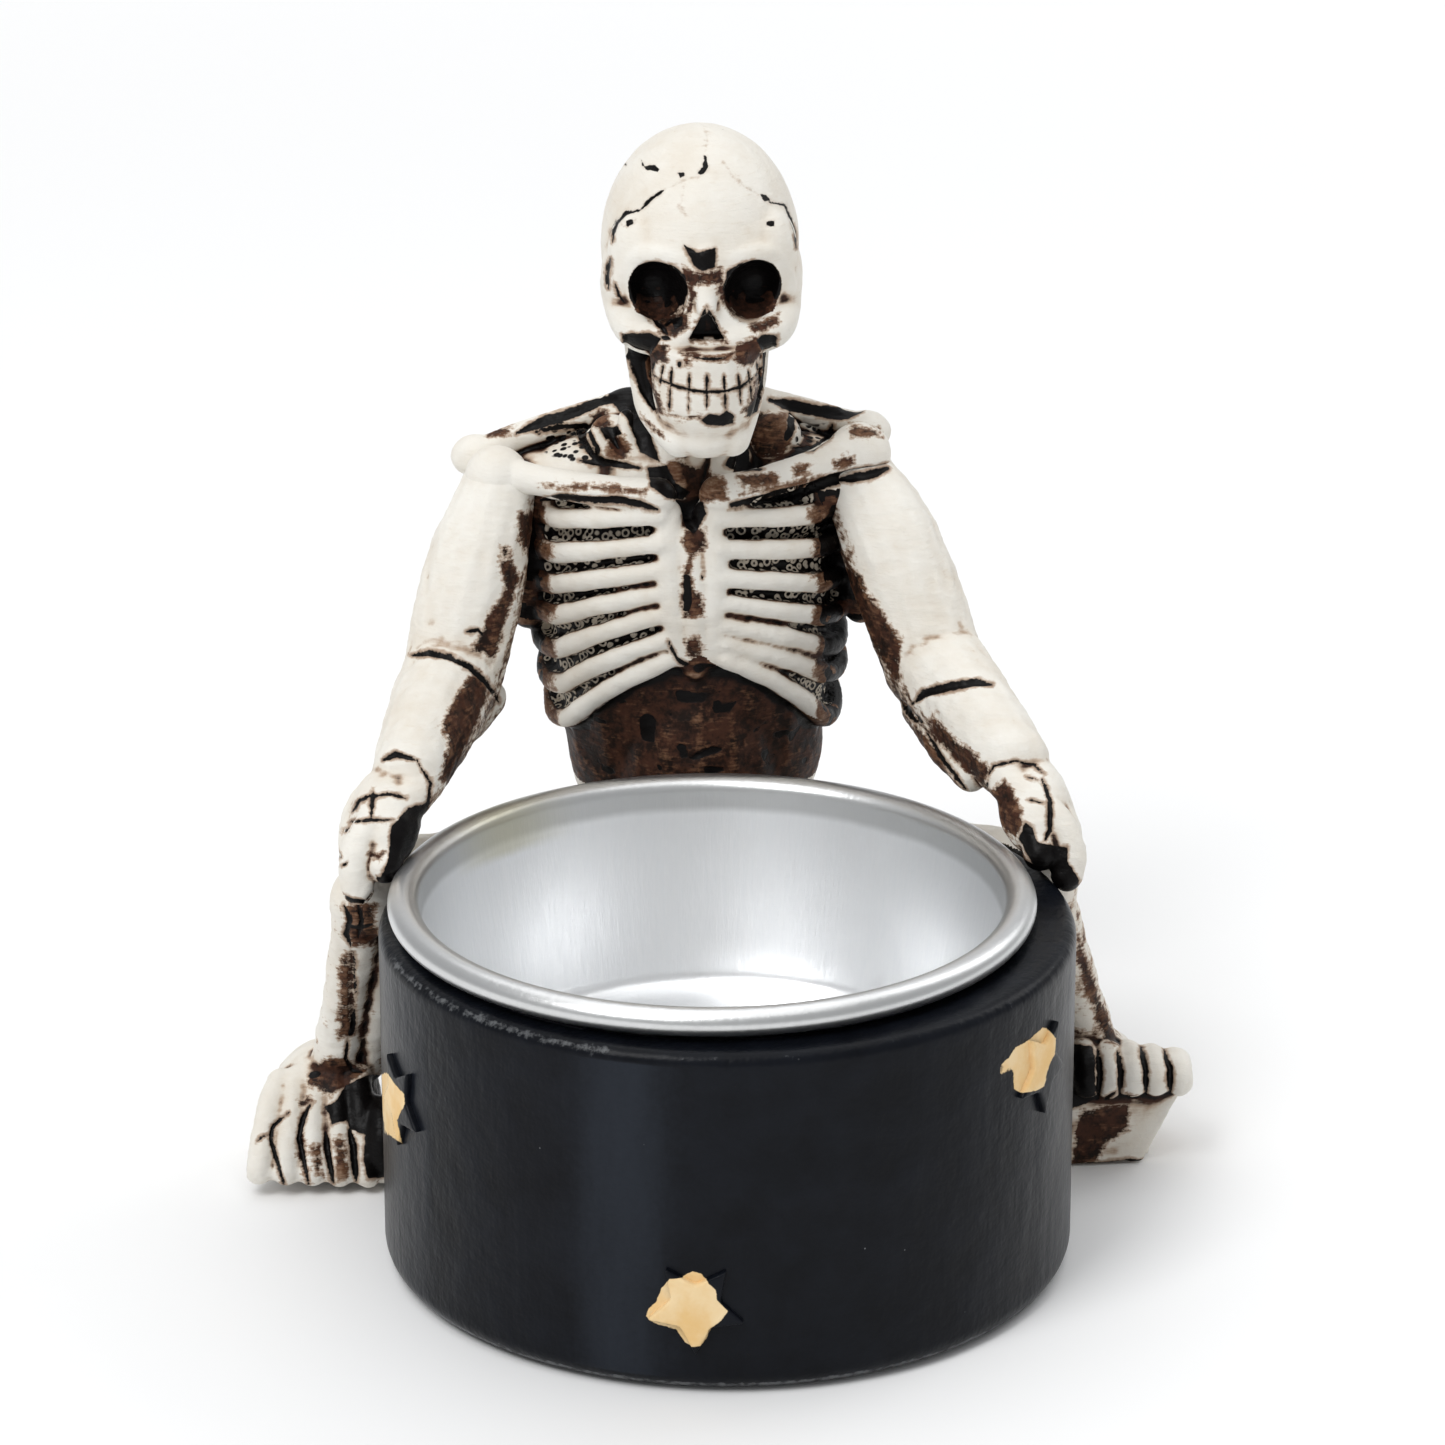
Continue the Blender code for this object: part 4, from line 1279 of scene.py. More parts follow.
@dataclass
class Torso:
    """Ribs, breastbone, collar bones, blades, neck, spine, belly and seat."""

    detail: float = 0.205
    lumps: float = 0.07
    settling: tuple = (110, 8)
    # each rib's height at the breastbone and at the flank
    ribs_left: tuple = (
        (47.2, 45.5), (45.0, 42.6), (43.0, 40.0), (41.2, 37.4), (39.5, 34.4), (37.5, 31.4), (35.7, 28.3)
    )
    ribs_right: tuple = (
        (46.9, 45.6), (44.6, 42.8), (42.3, 39.9), (40.3, 37.0), (38.6, 34.3), (37.1, 32.0), (35.9, 28.0)
    )

    def rib(self, clay: Clay, side: Side, breast: float, flank: float) -> None:
        """Adds one rib.

        Args:
            clay: what it is added to.
            side: which side.
            breast: its height at the breastbone.
            flank: its height at the side.
        """
        start = 11.0
        stations = []
        for angle in (start, 26, 45, 65, 90, 118, 146, 172):
            out = min(1.0, (angle - start) / 60)
            back = max(0.0, (angle - 80) / 92)
            z = mixed(breast, flank, out**1.15) + back * (breast - flank + 2.5)
            radius = mixed(0.72, 0.88, min(1.0, angle / 80))
            point = SIZES.chest_point(z, angle, SIZES.rib_proud - radius)
            stations.append((side.value * point.x + SIZES.lean_at(z), point.y, point.z, radius))
        clay.bone(stations)

    def clay(self) -> Clay:
        """Builds the torso's solid form.

        Returns:
            The shapes.
        """
        s = SIZES
        clay = Clay()
        heights = [mixed(s.chest_bottom, s.chest_top, share) for share in (0.0, 0.3, 0.53, 0.8)]
        core = [(s.lean_at(z), s.chest_y, z, s.chest_half(z) - 0.5) for z in heights]
        clay.bone([*core, (0, s.chest_y, s.chest_top - 5.5, 7.0)], s.chest_depth_ratio)
        clay.ball((0, s.chest_y + 0.5, s.chest_top - 4.8), (s.chest_width * 0.46, 6.8, 4.1))
        for side, ribs in ((Side.LEFT, self.ribs_left), (Side.RIGHT, self.ribs_right)):
            for breast, flank in ribs:
                self.rib(clay, side, breast, flank)
        self.breastbone(clay)
        self.belly(clay)
        self.spine(clay)
        for side in Side:
            self.girdle(clay, side)
        return clay

    @staticmethod
    def breastbone(clay: Clay) -> None:
        """Adds the breastbone.

        Args:
            clay: what it is added to.
        """
        s = SIZES
        top, low = s.chest_point(s.sternum_top, 0).y, s.chest_point(s.sternum_tip + 2, 0).y
        head, waist, tip = s.lean_at(s.sternum_top), s.lean_at(42), s.lean_at(s.sternum_tip)
        for k in (-1, 1):
            column = [(k * 1.5 + head, top + 0.7, s.sternum_top - 1.6, 1.15), (k * 1.65 + waist, top + 0.1, 44, 1.2)]
            column += [(k * 1.6 + waist, low + 0.2, 40, 1.25), (k * 1.15 + tip, low + 0.5, s.sternum_tip + 1.6, 1.1)]
            clay.bone(column)
        middle = [(head, top + 0.5, s.sternum_top - 3.5, 1.3), (waist, top - 0.1, 43, 1.4)]
        clay.bone([*middle, (tip, low + 0.3, 38, 1.4), (tip, low + 0.7, s.sternum_tip + 0.4, 1.0)])

    @staticmethod
    def belly(clay: Clay) -> None:
        """Adds the belly and the seat.

        Args:
            clay: what they are added to.
        """
        s = SIZES
        column = [(0, s.chest_y + 1, 5, 8.4), (0, s.chest_y - 1, 18, 7.4), (0, s.chest_y - 2, s.chest_bottom, 7.4)]
        clay.bone([*column, (0, s.chest_y - 1.5, s.sternum_tip + 1, 4.7)])
        clay.ball((0, s.chest_y + 1.5, 4), (10.8, 8.6, 8.7))
        for k in (-1, 1):
            clay.ball((k * 9.0, s.chest_y + 1, 9.0), (6.4, 5.2, 6.0), (0, k * 28, 0))
            clay.ball((k * 7.2, s.chest_y + 2.5, 2.4), (5.0, 6.6, 5.4))

    @staticmethod
    def spine(clay: Clay) -> None:
        """Adds the spine with its knuckles.

        Args:
            clay: what it is added to.
        """
        s = SIZES
        back = s.chest_y + s.chest_half(39.0) * s.chest_depth_ratio
        path = [(0, s.chest_y + 8.6, 4), (0, s.chest_y + 6.6, 18), (0, back - 0.6, 34)]
        path += [(0, back - 1.4, 46), (0, s.skull_y + 3.4, 56)]
        clay.bone([(*point, 1.7) for point in path])
        for knuckle in range(11):
            along = knuckle / 10 * (len(path) - 1) * 0.84
            low = int(along)
            point = mixed(Vector(path[low]), Vector(path[low + 1]), along - low)
            clay.ball(point + Vector((0, 0.6, 0)), (1.7, 1.7, 1.15))
        clay.bone([(0, s.skull_y + 1.5, s.chin_z + 3.8, 2.6), (0, s.skull_y + 3.4, s.chest_top + 1.5, 2.7)])

    @staticmethod
    def girdle(clay: Clay, side: Side) -> None:
        """Adds a collar bone, shoulder, blade and the lumps beside the neck.

        Args:
            clay: what they are added to.
            side: which side.
        """
        s, k = SIZES, side.value
        ball = shoulder_point(side)
        notch = s.chest_point(s.sternum_top, 0).y
        inner = Vector((k * 2.2 + s.lean_at(s.sternum_top), notch + 0.2, s.sternum_top + 0.1))
        bend = mixed(inner, ball, 0.5) + Vector((0, -1.4, -0.1))
        clay.bone([(*inner, 1.35), (*bend, 1.0), (*(ball + Vector((0, -0.4, 0.5))), side.pick(1.3, 1.7))])
        clay.ball(ball + Vector((0, -0.3, -0.1)), (2.45, 2.45, 2.45))
        tip = ball + Vector((k * side.pick(1.5, 0.8), 3.4, 0.5))
        neck = Vector((k * 4.8, s.chest_y + 2.8, s.chest_top + 2.8))
        clay.ball(tip, (1.9, 1.9, 1.6))
        clay.bone([(*tip, 1.3), (*(mixed(tip, neck, 0.5) + Vector((0, 0, 0.5))), 0.9), (*neck, 1.0)])
        low = mixed(tip, neck, 0.15)
        edge = [(*low, 1.1), (k * 9.4, s.chest_y + 6.8, s.chest_top - 7, 1.4)]
        clay.bone([*edge, (k * 7.4, s.chest_y + 7.4, s.chest_top - 11.5, 0.8)])
        clay.ball((k * 8.2, s.chest_y + 5.6, s.chest_top - 4.6), (4.5, 2.3, 5.9), (0, -k * 22, 0))
        clay.ball((k * 8.6, s.chest_y + 0.6, s.chest_top - 2.8), (5.8, 4.4, 3.3), (0, k * 14, 0))
        clay.ball((k * 11.0, s.chest_y + 1.0, s.chest_top - 2.6), (3.5, 3.5, 2.3))
        clay.ball((k * 4.6, s.chest_y + 2.6, s.chest_top), (3.5, 2.6, 3.9))
        clay.ball((k * 5.9, s.chest_y - 0.2, s.chest_top + 0.1), (2.1, 2.0, 2.7), (0, k * 24, 0))
        if side is Side.LEFT:
            outer = [(-7.6, s.chest_y - 1.9, 51.6, 0.7), (-6.6, s.chest_y - 2.6, 49.9, 0.8)]
            clay.bone([*outer, (-4.6, s.chest_y - 3, 49.4, 0.6)])
            nearer = [(-5.2, s.chest_y - 1.6, 53.0, 0.6), (-5.6, s.chest_y - 2.4, 51.0, 0.7)]
            clay.bone([*nearer, (-4.2, s.chest_y - 3, 50.2, 0.5)])
        cord = [(k * 1.5, s.chest_y - 5.0, s.sternum_top, 0.9), (k * 3.0, s.chest_y - 1.6, s.chest_top + 3.5, 1.1)]
        clay.bone([*cord, (k * 3.0, s.skull_y + 1, s.chest_top + 8, 1.1)])
        web = Vector((k * s.chest_width * 0.5, s.chest_y - 0.5, s.chest_top - 7))
        clay.bone([(*web, 2.3), (*(web + Vector((k, -0.3, -5.5))), 1.5)])

    @staticmethod
    def marks() -> tuple[Mark, ...]:
        """Paint on the breastbone, shoulders, neck and belly.

        Returns:
            The marks.
        """
        brown = Ink.BROWN
        return (
            patch((648, 468), (666, 465), (676, 483), (690, 492), (683, 500), (666, 498), (651, 486)),
            patch((682, 505), (692, 500), (703, 502), (706, 514), (694, 535), (685, 526)),
            patch((660, 466), (680, 460), (706, 470), (724, 480), (728, 500), (704, 503), (684, 500), ink=brown),
            patch((684, 530), (705, 528), (706, 548), (690, 556), (683, 548), ink=brown),
            patch((684, 566), (692, 566), (695, 590), (702, 594), (703, 616), (683, 618), (682, 600), ink=brown),
            patch((684, 575), (690, 574), (692, 600), (689, 612), (683, 612)),
            line((692, 552), (688, 568), width=0.4, depth=0.0, ink=brown),
            patch((685, 640), (698, 638), (703, 650), (695, 660), (687, 655), ink=brown),
            line((703, 572), (702, 580), width=0.16),
            line((668, 640), (676, 658), (690, 668), (702, 669), width=0.3),
            patch((467, 486), (476, 487), (483, 498), (481, 502), (470, 497)),
            line((497, 509), (513, 505), (524, 507), (538, 512), width=0.5),
            patch((737, 475), (757, 472), (777, 474), (779, 483), (758, 488), (740, 486), ink=brown),
            patch((792, 468), (812, 462), (808, 473), (794, 478), ink=brown),
            patch((832, 460), (853, 456), (852, 467), (835, 471), ink=brown),
            line((731, 505), (770, 498), (806, 490), (832, 480), (862, 473), (890, 465), width=0.85, depth=0.35),
            line((740, 494), (786, 487), (826, 476), width=0.5, depth=0.0, ink=brown),
            line((541, 500), (560, 497), (590, 500), (622, 500), (642, 505), (658, 510), width=0.5, depth=0.25),
            line((540, 486), (600, 488), (645, 492), width=0.5, depth=0.0, ink=brown),
            line((580, 461), (610, 463), (640, 468), width=0.5, depth=0.12),
            patch((538, 434), (560, 430), (584, 428), (594, 448), (588, 463), (560, 460), (541, 450), ink=Ink.PITS),
            line((536, 432), (560, 427), (586, 426), (598, 450), (590, 466), width=0.35),
            patch((795, 427), (826, 424), (828, 434), (812, 446), (796, 445), ink=Ink.PITS),
            line((832, 424), (830, 436), (812, 449), (793, 448), width=0.35),
            patch((590, 414), (606, 410), (612, 424), (604, 430), (592, 426), ink=brown),
            patch((608, 440), (626, 432), (632, 452), (618, 462), (606, 456), ink=brown),
            patch((600, 428), (618, 426), (622, 434), (606, 440)),
            patch((604, 384), (630, 386), (646, 410), (652, 440), (660, 462), (640, 452), (628, 420), (612, 402)),
            patch(
                (746, 414), (762, 408), (790, 412), (794, 440), (780, 460), (752, 462), (746, 440),
                ink=brown, faint=0.2,
            ),
            patch((736, 446), (748, 430), (750, 462), (764, 470), (740, 472), (724, 466)),
            line((517, 433), (545, 421), (576, 412), (600, 400), (630, 398), width=0.8, depth=0.25),
            line((574, 425), (592, 455), (612, 466), width=0.4),
            line((770, 400), (800, 408), (840, 414), (862, 410), width=0.9, depth=0.2),
            line((785, 440), (792, 428), (790, 414), width=0.6),
            patch((470, 428), (492, 424), (520, 424), (512, 436), (488, 440), ink=brown, faint=0.2),
            patch((846, 420), (880, 426), (884, 440), (850, 440), ink=brown, faint=0.2),
            patch((639, 718), (648, 713), (657, 720), (654, 743), (642, 740)),
            patch((712, 706), (737, 701), (730, 712), (714, 713)),
            line((691, 759), (706, 752), (721, 749), width=0.6),
        )

    def beads(self, skin: Skin) -> None:
        """Marks the spaces between the ribs, where the cast has rows of small bubbles.

        Args:
            skin: the torso's skin.
        """
        s, p = SIZES, skin.points
        lean = s.lean_at(p[:, 2])
        away = np.hypot(p[:, 0] - lean, (p[:, 1] - s.chest_y) / s.chest_depth_ratio)
        depth = s.chest_half(p[:, 2]) + s.rib_proud - away
        side = np.abs(p[:, 0] - lean)
        cage = (p[:, 2] > 26.5) & (p[:, 2] < 48.4) & (depth > 0)
        front = cage & (p[:, 1] < s.chest_y + 2) & (side > 2.9)
        front &= p[:, 2] > s.sternum_tip + 1.6 - (side - 2.0) * 0.95
        hollow = skin.layers["hollow"]
        hollow[front] = np.minimum(hollow[front], -(depth[front] - 0.42) * 0.6)
        skin.layer(Ink.BEADS)[front] = np.minimum((depth[front] - 0.95) * 2, 0.8)
        # beyond the ribs lies a rough dark hollow under the arm
        edge = np.where(p[:, 0] < 0, 11.3, 9.9) + lattice_noise(p, 1.4) * 0.5
        under = (p[:, 1] < s.chest_y + 1) & (p[:, 2] > 27) & (p[:, 2] < 47.5)
        black, brown = skin.layer(Ink.BLACK), skin.layer(Ink.BROWN)
        black[under] = np.maximum(black[under], np.minimum((side - edge)[under], 0.5))
        rough = lattice_noise(p, 0.9) + lattice_noise(p, 2.1)
        brown[under] = np.maximum(brown[under], np.minimum((side - edge)[under] + 0.7, 0.8))
        black[under & (rough > 0.55)] = -0.4

    def build(self, finish: bpy.types.Material) -> None:
        """Makes the piece.

        Args:
            finish: its material.
        """
        skin = self.clay().fused("torso", self.detail)
        skin.roughen(self.lumps)
        skin.apply(self.marks())
        skin.settle(*self.settling)
        self.beads(skin)
        p = skin.points
        brown, black = skin.layer(Ink.BROWN), skin.layer(Ink.BLACK)
        front = p[:, 1] < SIZES.chest_y
        rough = lattice_noise(p, 1.3) + lattice_noise(p, 0.6) * 0.5
        belly = front & (p[:, 2] < 36.4 - np.abs(p[:, 0]) * 0.75) & (p[:, 2] > 24)
        brown[belly] = np.maximum(brown[belly], 1.2)
        black[belly] = np.maximum(black[belly], rough[belly] * 0.5 - 0.28)
        seat = p[:, 2] < 24
        brown[seat] = np.maximum(brown[seat], (SIZES.chest_y - 4 - p[seat, 1]) * 0.5 + rough[seat] * 0.3)
        skin.finish()
        show("torso", skin.mesh, finish, CASTING)


@dataclass
class Limbs:
    """A pair of limbs. Each kind has its own shape, marks and stain."""

    name: str
    detail: float
    lumps: float = 0.11
    settling: tuple = (50, 8)

    def shape(self, clay: Clay, side: Side) -> None:
        """Adds a whole limb."""
        raise NotImplementedError

    @staticmethod
    def marks() -> tuple[Mark, ...]:
        """What is drawn on both limbs."""
        raise NotImplementedError

    def stain(self, skin: Skin, side: Side) -> None:
        """Paints what has run over from the pot, and brown as painted shade on the sides facing the body and on
        undersides.

        Args:
            skin: the limb's skin.
            side: which side.
        """
        p, n = skin.points, skin.normals()
        black, brown = skin.layer(Ink.BLACK), skin.layer(Ink.BROWN)
        away = np.hypot(p[:, 0] - SIZES.pot_shift, p[:, 1]) - SIZES.pot_radius
        near = (away < 0.6) & (p[:, 2] < SIZES.pot_height + 2.2)
        black[near] = np.maximum(black[near], np.minimum(0.5 - away[near], SIZES.pot_height + 1.6 - p[near, 2]))
        # painted shade: brown on the sides that face the body and on undersides
        inward = -np.sign(p[:, 0]) * n[:, 0] * 0.8 - n[:, 2] * 0.5
        brown[:] = np.maximum(brown, np.minimum((inward - 0.80) * 1.6, 0.4))

    def build(self, finish: bpy.types.Material) -> None:
        """Makes both pieces.

        Args:
            finish: their material.
        """
        for side in Side:
            clay = Clay()
            self.shape(clay, side)
            name = f"{self.name}_{side.name.lower()}"
            skin = clay.fused(name, self.detail)
            skin.roughen(self.lumps)
            skin.apply(self.marks())
            skin.settle(*self.settling)
            self.stain(skin, side)
            skin.finish()
            show(name, skin.mesh, finish, CASTING)


@dataclass
class Arms(Limbs):
    """Both arms, with seams at elbow and wrist, and the hands on the pot's rim."""

    name: str = "arm"
    detail: float = 0.18

    def shape(self, clay: Clay, side: Side) -> None:
        """Adds an arm with its hand."""
        self.arm(clay, side)
        self.hand(clay, side)

    def arm(self, clay: Clay, side: Side) -> None:
        """Adds an arm.

        Args:
            clay: what it is added to.
            side: which side.
        """
        shoulder, elbow, wrist = shoulder_point(side), elbow_point(side), wrist_point(side)
        upper = [(shoulder.x, shoulder.y - 0.2, SIZES.sternum_top - 1.4, 2.95), (*mixed(shoulder, elbow, 0.32), 3.75)]
        clay.bone([*upper, (*mixed(shoulder, elbow, 0.72), 4.05), (*elbow, 3.8)])
        clay.bone([(*elbow, 3.75), (*mixed(elbow, wrist, 0.5), 3.7), (*wrist, 2.8)])
        k = side.value
        top = mixed(elbow, wrist, side.pick(0.05, 0.2)) + Vector((-k * side.pick(2.4, 1.7), 1.6, -2.4))
        middle = mixed(elbow, wrist, 0.6) + Vector((-k * side.pick(1.0, 2.9), 1.6, -2.0))
        clay.bone([(*top, 1.7), (*middle, 1.55), (*(wrist + Vector((-k * side.pick(0.8, 2.8), 1.3, -1.6))), 1.25)])

    def hand(self, clay: Clay, side: Side) -> None:
        """Adds a hand.

        Args:
            clay: what it is added to.
            side: which side.
        """
        k, wrist, rim, edge = side.value, wrist_point(side), SIZES.pot_height, SIZES.pot_radius
        clay.ball((k * (edge - 1.4), wrist.y - 3.4, rim + 4.2), (2.6, 4.6, 2.5), (24, 0, 0))
        thumb = [(*(wrist + Vector((-k * 0.4, -1.6, -0.6))), 1.7), (k * (edge - 1.6), wrist.y - 5.0, rim + 4.4, 1.5)]
        clay.bone([*thumb, (k * (edge - 1.3), wrist.y - 7.4, rim + 1.9, 1.25)])
        for finger in range(4):
            y = wrist.y - 7.4 + 2.2 * finger
            drop = [(k * (edge - 0.4), y + 1.8, rim + 4.4, 1.2), (k * (edge + 1.4), y + 0.4, rim + 2.8, 1.3)]
            clay.bone([*drop, (k * (edge + 0.7), y - 0.2, rim + 0.3, 1.2)])

    @staticmethod
    def marks() -> tuple[Mark, ...]:
        """Seams, knuckle cracks and stains.

        Returns:
            The marks.
        """
        brown = Ink.BROWN
        return (
            line((412, 655), (430, 653), (450, 657), (470, 667), (486, 682), (500, 703), width=0.42, depth=0.3),
            line((912, 704), (925, 693), (950, 686), (975, 682), (992, 684), width=0.6, depth=0.3),
            line((900, 700), (912, 716), (922, 722), width=0.5, depth=0.2),
            line((383, 760), (396, 754), (417, 760), width=0.38, depth=0.25),
            line((417, 761), (431, 783), (428, 804), (410, 811), width=0.22, depth=0.15),
            line((365, 797), (388, 794), (406, 798), width=0.2, depth=0.15),
            line((373, 790), (372, 804), (371, 819), width=0.24, depth=0.15),
            line((350, 822), (367, 820), (394, 820), width=0.2, depth=0.15),
            line((352, 812), (360, 800), (371, 795), width=0.2),
            line((343, 832), (349, 828), width=0.2),
            line((338, 852), (341, 858), width=0.2),
            line((342, 866), (348, 862), width=0.2),
            line((342, 895), (352, 901), (367, 902), (376, 890), width=0.28, depth=0.2),
            line((369, 853), (380, 858), (387, 850), width=0.3, ink=brown),
            patch(
                (389, 850), (392, 826), (408, 808), (428, 803), (424, 830), (414, 860), (392, 884), (380, 880),
                (388, 862),
            ),
            line((988, 776), (994, 766), (1015, 761), (1035, 765), (1044, 775), width=0.16, depth=0.12),
            line((985, 800), (988, 776), width=0.2),
            line((1042, 778), (1050, 800), (1050, 830), (1045, 841), width=0.34, depth=0.2),
            line((1026, 776), (1038, 780), width=0.14),
            line((1028, 799), (1043, 803), width=0.16),
            patch((988, 798), (996, 784), (1004, 780), (1012, 790), (1024, 822), (1016, 838), (1000, 826), ink=brown),
            patch(
                (1018, 838), (1022, 832), (1024, 822), (1033, 828), (1037, 842), (1067, 848), (1068, 862), (1079, 880),
                (1075, 908), (1062, 880), (1035, 868),
            ),
            patch((932, 716), (950, 733), (970, 750), (990, 770), (984, 790), (960, 764), (934, 737), ink=brown),
            line((916, 728), (934, 762), (955, 797), (980, 814), width=1.3, depth=0.0, ink=brown),
            line((926, 732), (944, 762), (966, 790), width=0.3, depth=0.2),
            patch(
                (499, 562), (510, 556), (520, 580), (505, 620), (495, 660), (470, 650), (486, 620), (505, 592),
                ink=brown,
            ),
            patch(
                (466, 680), (480, 670), (490, 690), (470, 740), (455, 790), (440, 780), (448, 740), (440, 725),
                ink=brown,
            ),
            patch(
                (838, 560), (864, 575), (866, 590), (900, 640), (900, 690), (880, 660), (855, 620), (838, 600),
                ink=brown,
            ),
            patch((518, 512), (535, 512), (536, 545), (528, 560), (520, 540), ink=brown),
            patch((500, 548), (508, 545), (511, 556), (503, 562), ink=brown),
            line((466, 632), (478, 630), (484, 636), width=0.3),
            line((836, 480), (866, 476), (888, 468), width=0.6, depth=0.2),
        )


@dataclass
class Legs(Limbs):
    """Both legs, bent up to the hands, with two shin bones each, and the feet."""

    name: str = "leg"
    detail: float = 0.2

    def shape(self, clay: Clay, side: Side) -> None:
        """Adds a leg with its foot."""
        self.leg(clay, side)
        self.foot(clay, side)

    def leg(self, clay: Clay, side: Side) -> None:
        """Adds a leg.

        Args:
            clay: what it is added to.
            side: which side.
        """
        k, knee = side.value, knee_point(side)
        hip = Vector((k * 8.4, SIZES.chest_y + 0.5, 11.6))
        ankle = Vector((k * (SIZES.pot_radius + side.pick(2.8, 4.2)), knee.y + 4.5, 7.4))
        clay.ball(hip, (4.4, 4.4, 4.4))
        arch = mixed(hip, knee, 0.55) + Vector((k * 2.4, 0.6, 4.6))
        clay.bone([(*hip, 4.2), (*arch, 3.8), (*knee, 2.7)])
        top = knee + Vector((k * 0.5, -0.3, -0.6))
        middle = mixed(knee, ankle, 0.5) + Vector((k * 0.2, 0, 0))
        clay.bone([(*top, 2.0), (*middle, 1.6), (*ankle, 1.95)])
        inner = Vector((-k * 2.3, 0.3, 0))
        clay.bone([(*(knee + inner * 0.6), 1.2), (*(mixed(knee, ankle, 0.5) + inner), 1.15), (*(ankle + inner), 1.35)])

    def foot(self, clay: Clay, side: Side) -> None:
        """Adds a foot. The one on -X curls to the ground, the other stands on a step.

        Args:
            clay: what it is added to.
            side: which side.
        """
        k, back = side.value, knee_point(side).y + 4.5
        inner, width = SIZES.pot_radius - 0.2, side.pick(9.9, 11.5)
        tip_z, tip_y = side.pick(1.3, 6.3), back - side.pick(6.2, 4.4)
        clay.ball((k * (inner + width * 0.38), back + 1.2, 4.0), (4.2, 5.6, 4.5))
        clay.ball((k * (inner - 0.4), back - 3.6, 2.9), (1.7, 3.4, 3.4))
        clay.slab((k * (inner + width * 0.36), back + 0.8, 2.0), (width * 0.74, 7.6, 4.0))
        if side is Side.RIGHT:
            clay.slab((inner + width * 0.4, back - 0.6, 2.4), (width * 1.05, 7.4, 7.2), (0, 0, 3), 3.6)
        for toe in range(5):
            share = toe / 4
            x = k * (inner + mixed(side.pick(0.8, 3.4), width - 1.15, share))
            back_x = k * (inner + mixed(side.pick(1.6, 3.2), width * side.pick(0.72, 0.9), share))
            if side is Side.RIGHT:
                knuckle = (mixed(back_x, x, 0.8), tip_y - 0.6, 9.1 - share * 0.7, 1.02)
                clay.bone([(back_x, back - 0.6, 8.0 - share * 1.4, 1.15), knuckle, (x, tip_y, tip_z + 0.2, 1.0)])
                continue
            bend_z = mixed(tip_z, 7.4, 0.68) - share * 0.6
            bend = (mixed(back_x, x, 0.7), tip_y + 1.8, bend_z, 1.18)
            tip = (x, tip_y, tip_z + 0.4 * share, 1.15 * (1.0 - 0.12 * abs(share - 0.4)))
            clay.bone([(back_x, back - 0.6, 7.4 - share, 1.15), bend, tip])

    @staticmethod
    def marks() -> tuple[Mark, ...]:
        """Gaps between toes, cracks on the shins and paint from the pot.

        Returns:
            The marks.
        """
        brown = Ink.BROWN
        return (
            line((289, 1112), (273, 1126), (271, 1138), (274, 1151), (280, 1173), (285, 1187), width=0.28, depth=0.3),
            line((310, 1104), (303, 1118), (299, 1137), (303, 1158), (309, 1186), width=0.34, depth=0.3),
            line((326, 1131), (327, 1147), (330, 1167), (333, 1183), width=0.4, depth=0.3),
            line((349, 1129), (353, 1145), (355, 1167), (356, 1181), width=0.45, depth=0.25),
            line((301, 1128), (302, 1160), (310, 1184), width=0.5, depth=0.0, ink=brown),
            patch((309, 1146), (322, 1144), (324, 1176), (314, 1180), ink=brown, faint=0.1),
            patch((334, 1138), (346, 1136), (348, 1176), (338, 1180), ink=brown),
            line((257, 1141), (263, 1136), (269, 1135), width=0.18),
            patch(
                (346, 1086), (364, 1076), (390, 1074), (395, 1120), (404, 1145), (409, 1160), (391, 1177), (368, 1178),
                (364, 1161), (365, 1135), (349, 1129), (348, 1120), (332, 1124), (330, 1115), (324, 1107), (334, 1103),
            ),
            patch(
                (318, 1064), (330, 1056), (352, 1060), (368, 1070), (350, 1084), (330, 1098), (322, 1092), (306, 1082),
                ink=brown,
            ),
            patch((292, 1100), (312, 1092), (316, 1102), (300, 1112), ink=brown, faint=0.2),
            line((309, 1076), (320, 1073), width=0.5),
            line((355, 1010), (352, 1030), (350, 1036), width=0.35),
            line((348, 1040), (346, 1058), (352, 1070), (362, 1072), width=0.28),
            line((344, 905), (350, 920), (346, 934), (351, 946), width=0.35, depth=0.2),
            line((358, 904), (362, 920), (358, 938), width=0.3, depth=0.2),
            line((345, 926), (360, 928), (376, 924), width=0.26, depth=0.15),
            patch((344, 905), (376, 904), (377, 944), (352, 948), (346, 930), ink=brown),
            line((352, 950), (351, 985), (352, 1030), width=0.55, depth=0.2, ink=brown),
            patch((341, 955), (350, 952), (352, 1035), (338, 1038), ink=brown),
            line((354, 952), (356, 1000), width=0.2),
            line((1118, 1050), (1121, 1072), (1120, 1096), width=0.4, depth=0.3),
            line((1141, 1047), (1146, 1070), (1146, 1094), width=0.4, depth=0.3),
            line((1164, 1050), (1170, 1068), (1170, 1096), width=0.4, depth=0.3),
            line((1098, 1050), (1100, 1075), (1098, 1100), width=0.4, depth=0.3),
            patch((1067, 1043), (1092, 1046), (1095, 1060), (1095, 1098), (1085, 1104), (1067, 1110)),
            patch((1080, 1110), (1130, 1104), (1128, 1130), (1105, 1145), (1096, 1166), (1070, 1168), ink=brown),
            line((1072, 1166), (1110, 1165), (1150, 1160), width=0.5, depth=0.0),
            patch(
                (1077, 930), (1085, 955), (1108, 1015), (1120, 1045), (1104, 1042), (1086, 990), (1076, 960), ink=brown,
            ),
            line((1104, 1100), (1116, 1092), width=0.3),
            line((1125, 1096), (1138, 1098), width=0.3, ink=brown),
        )

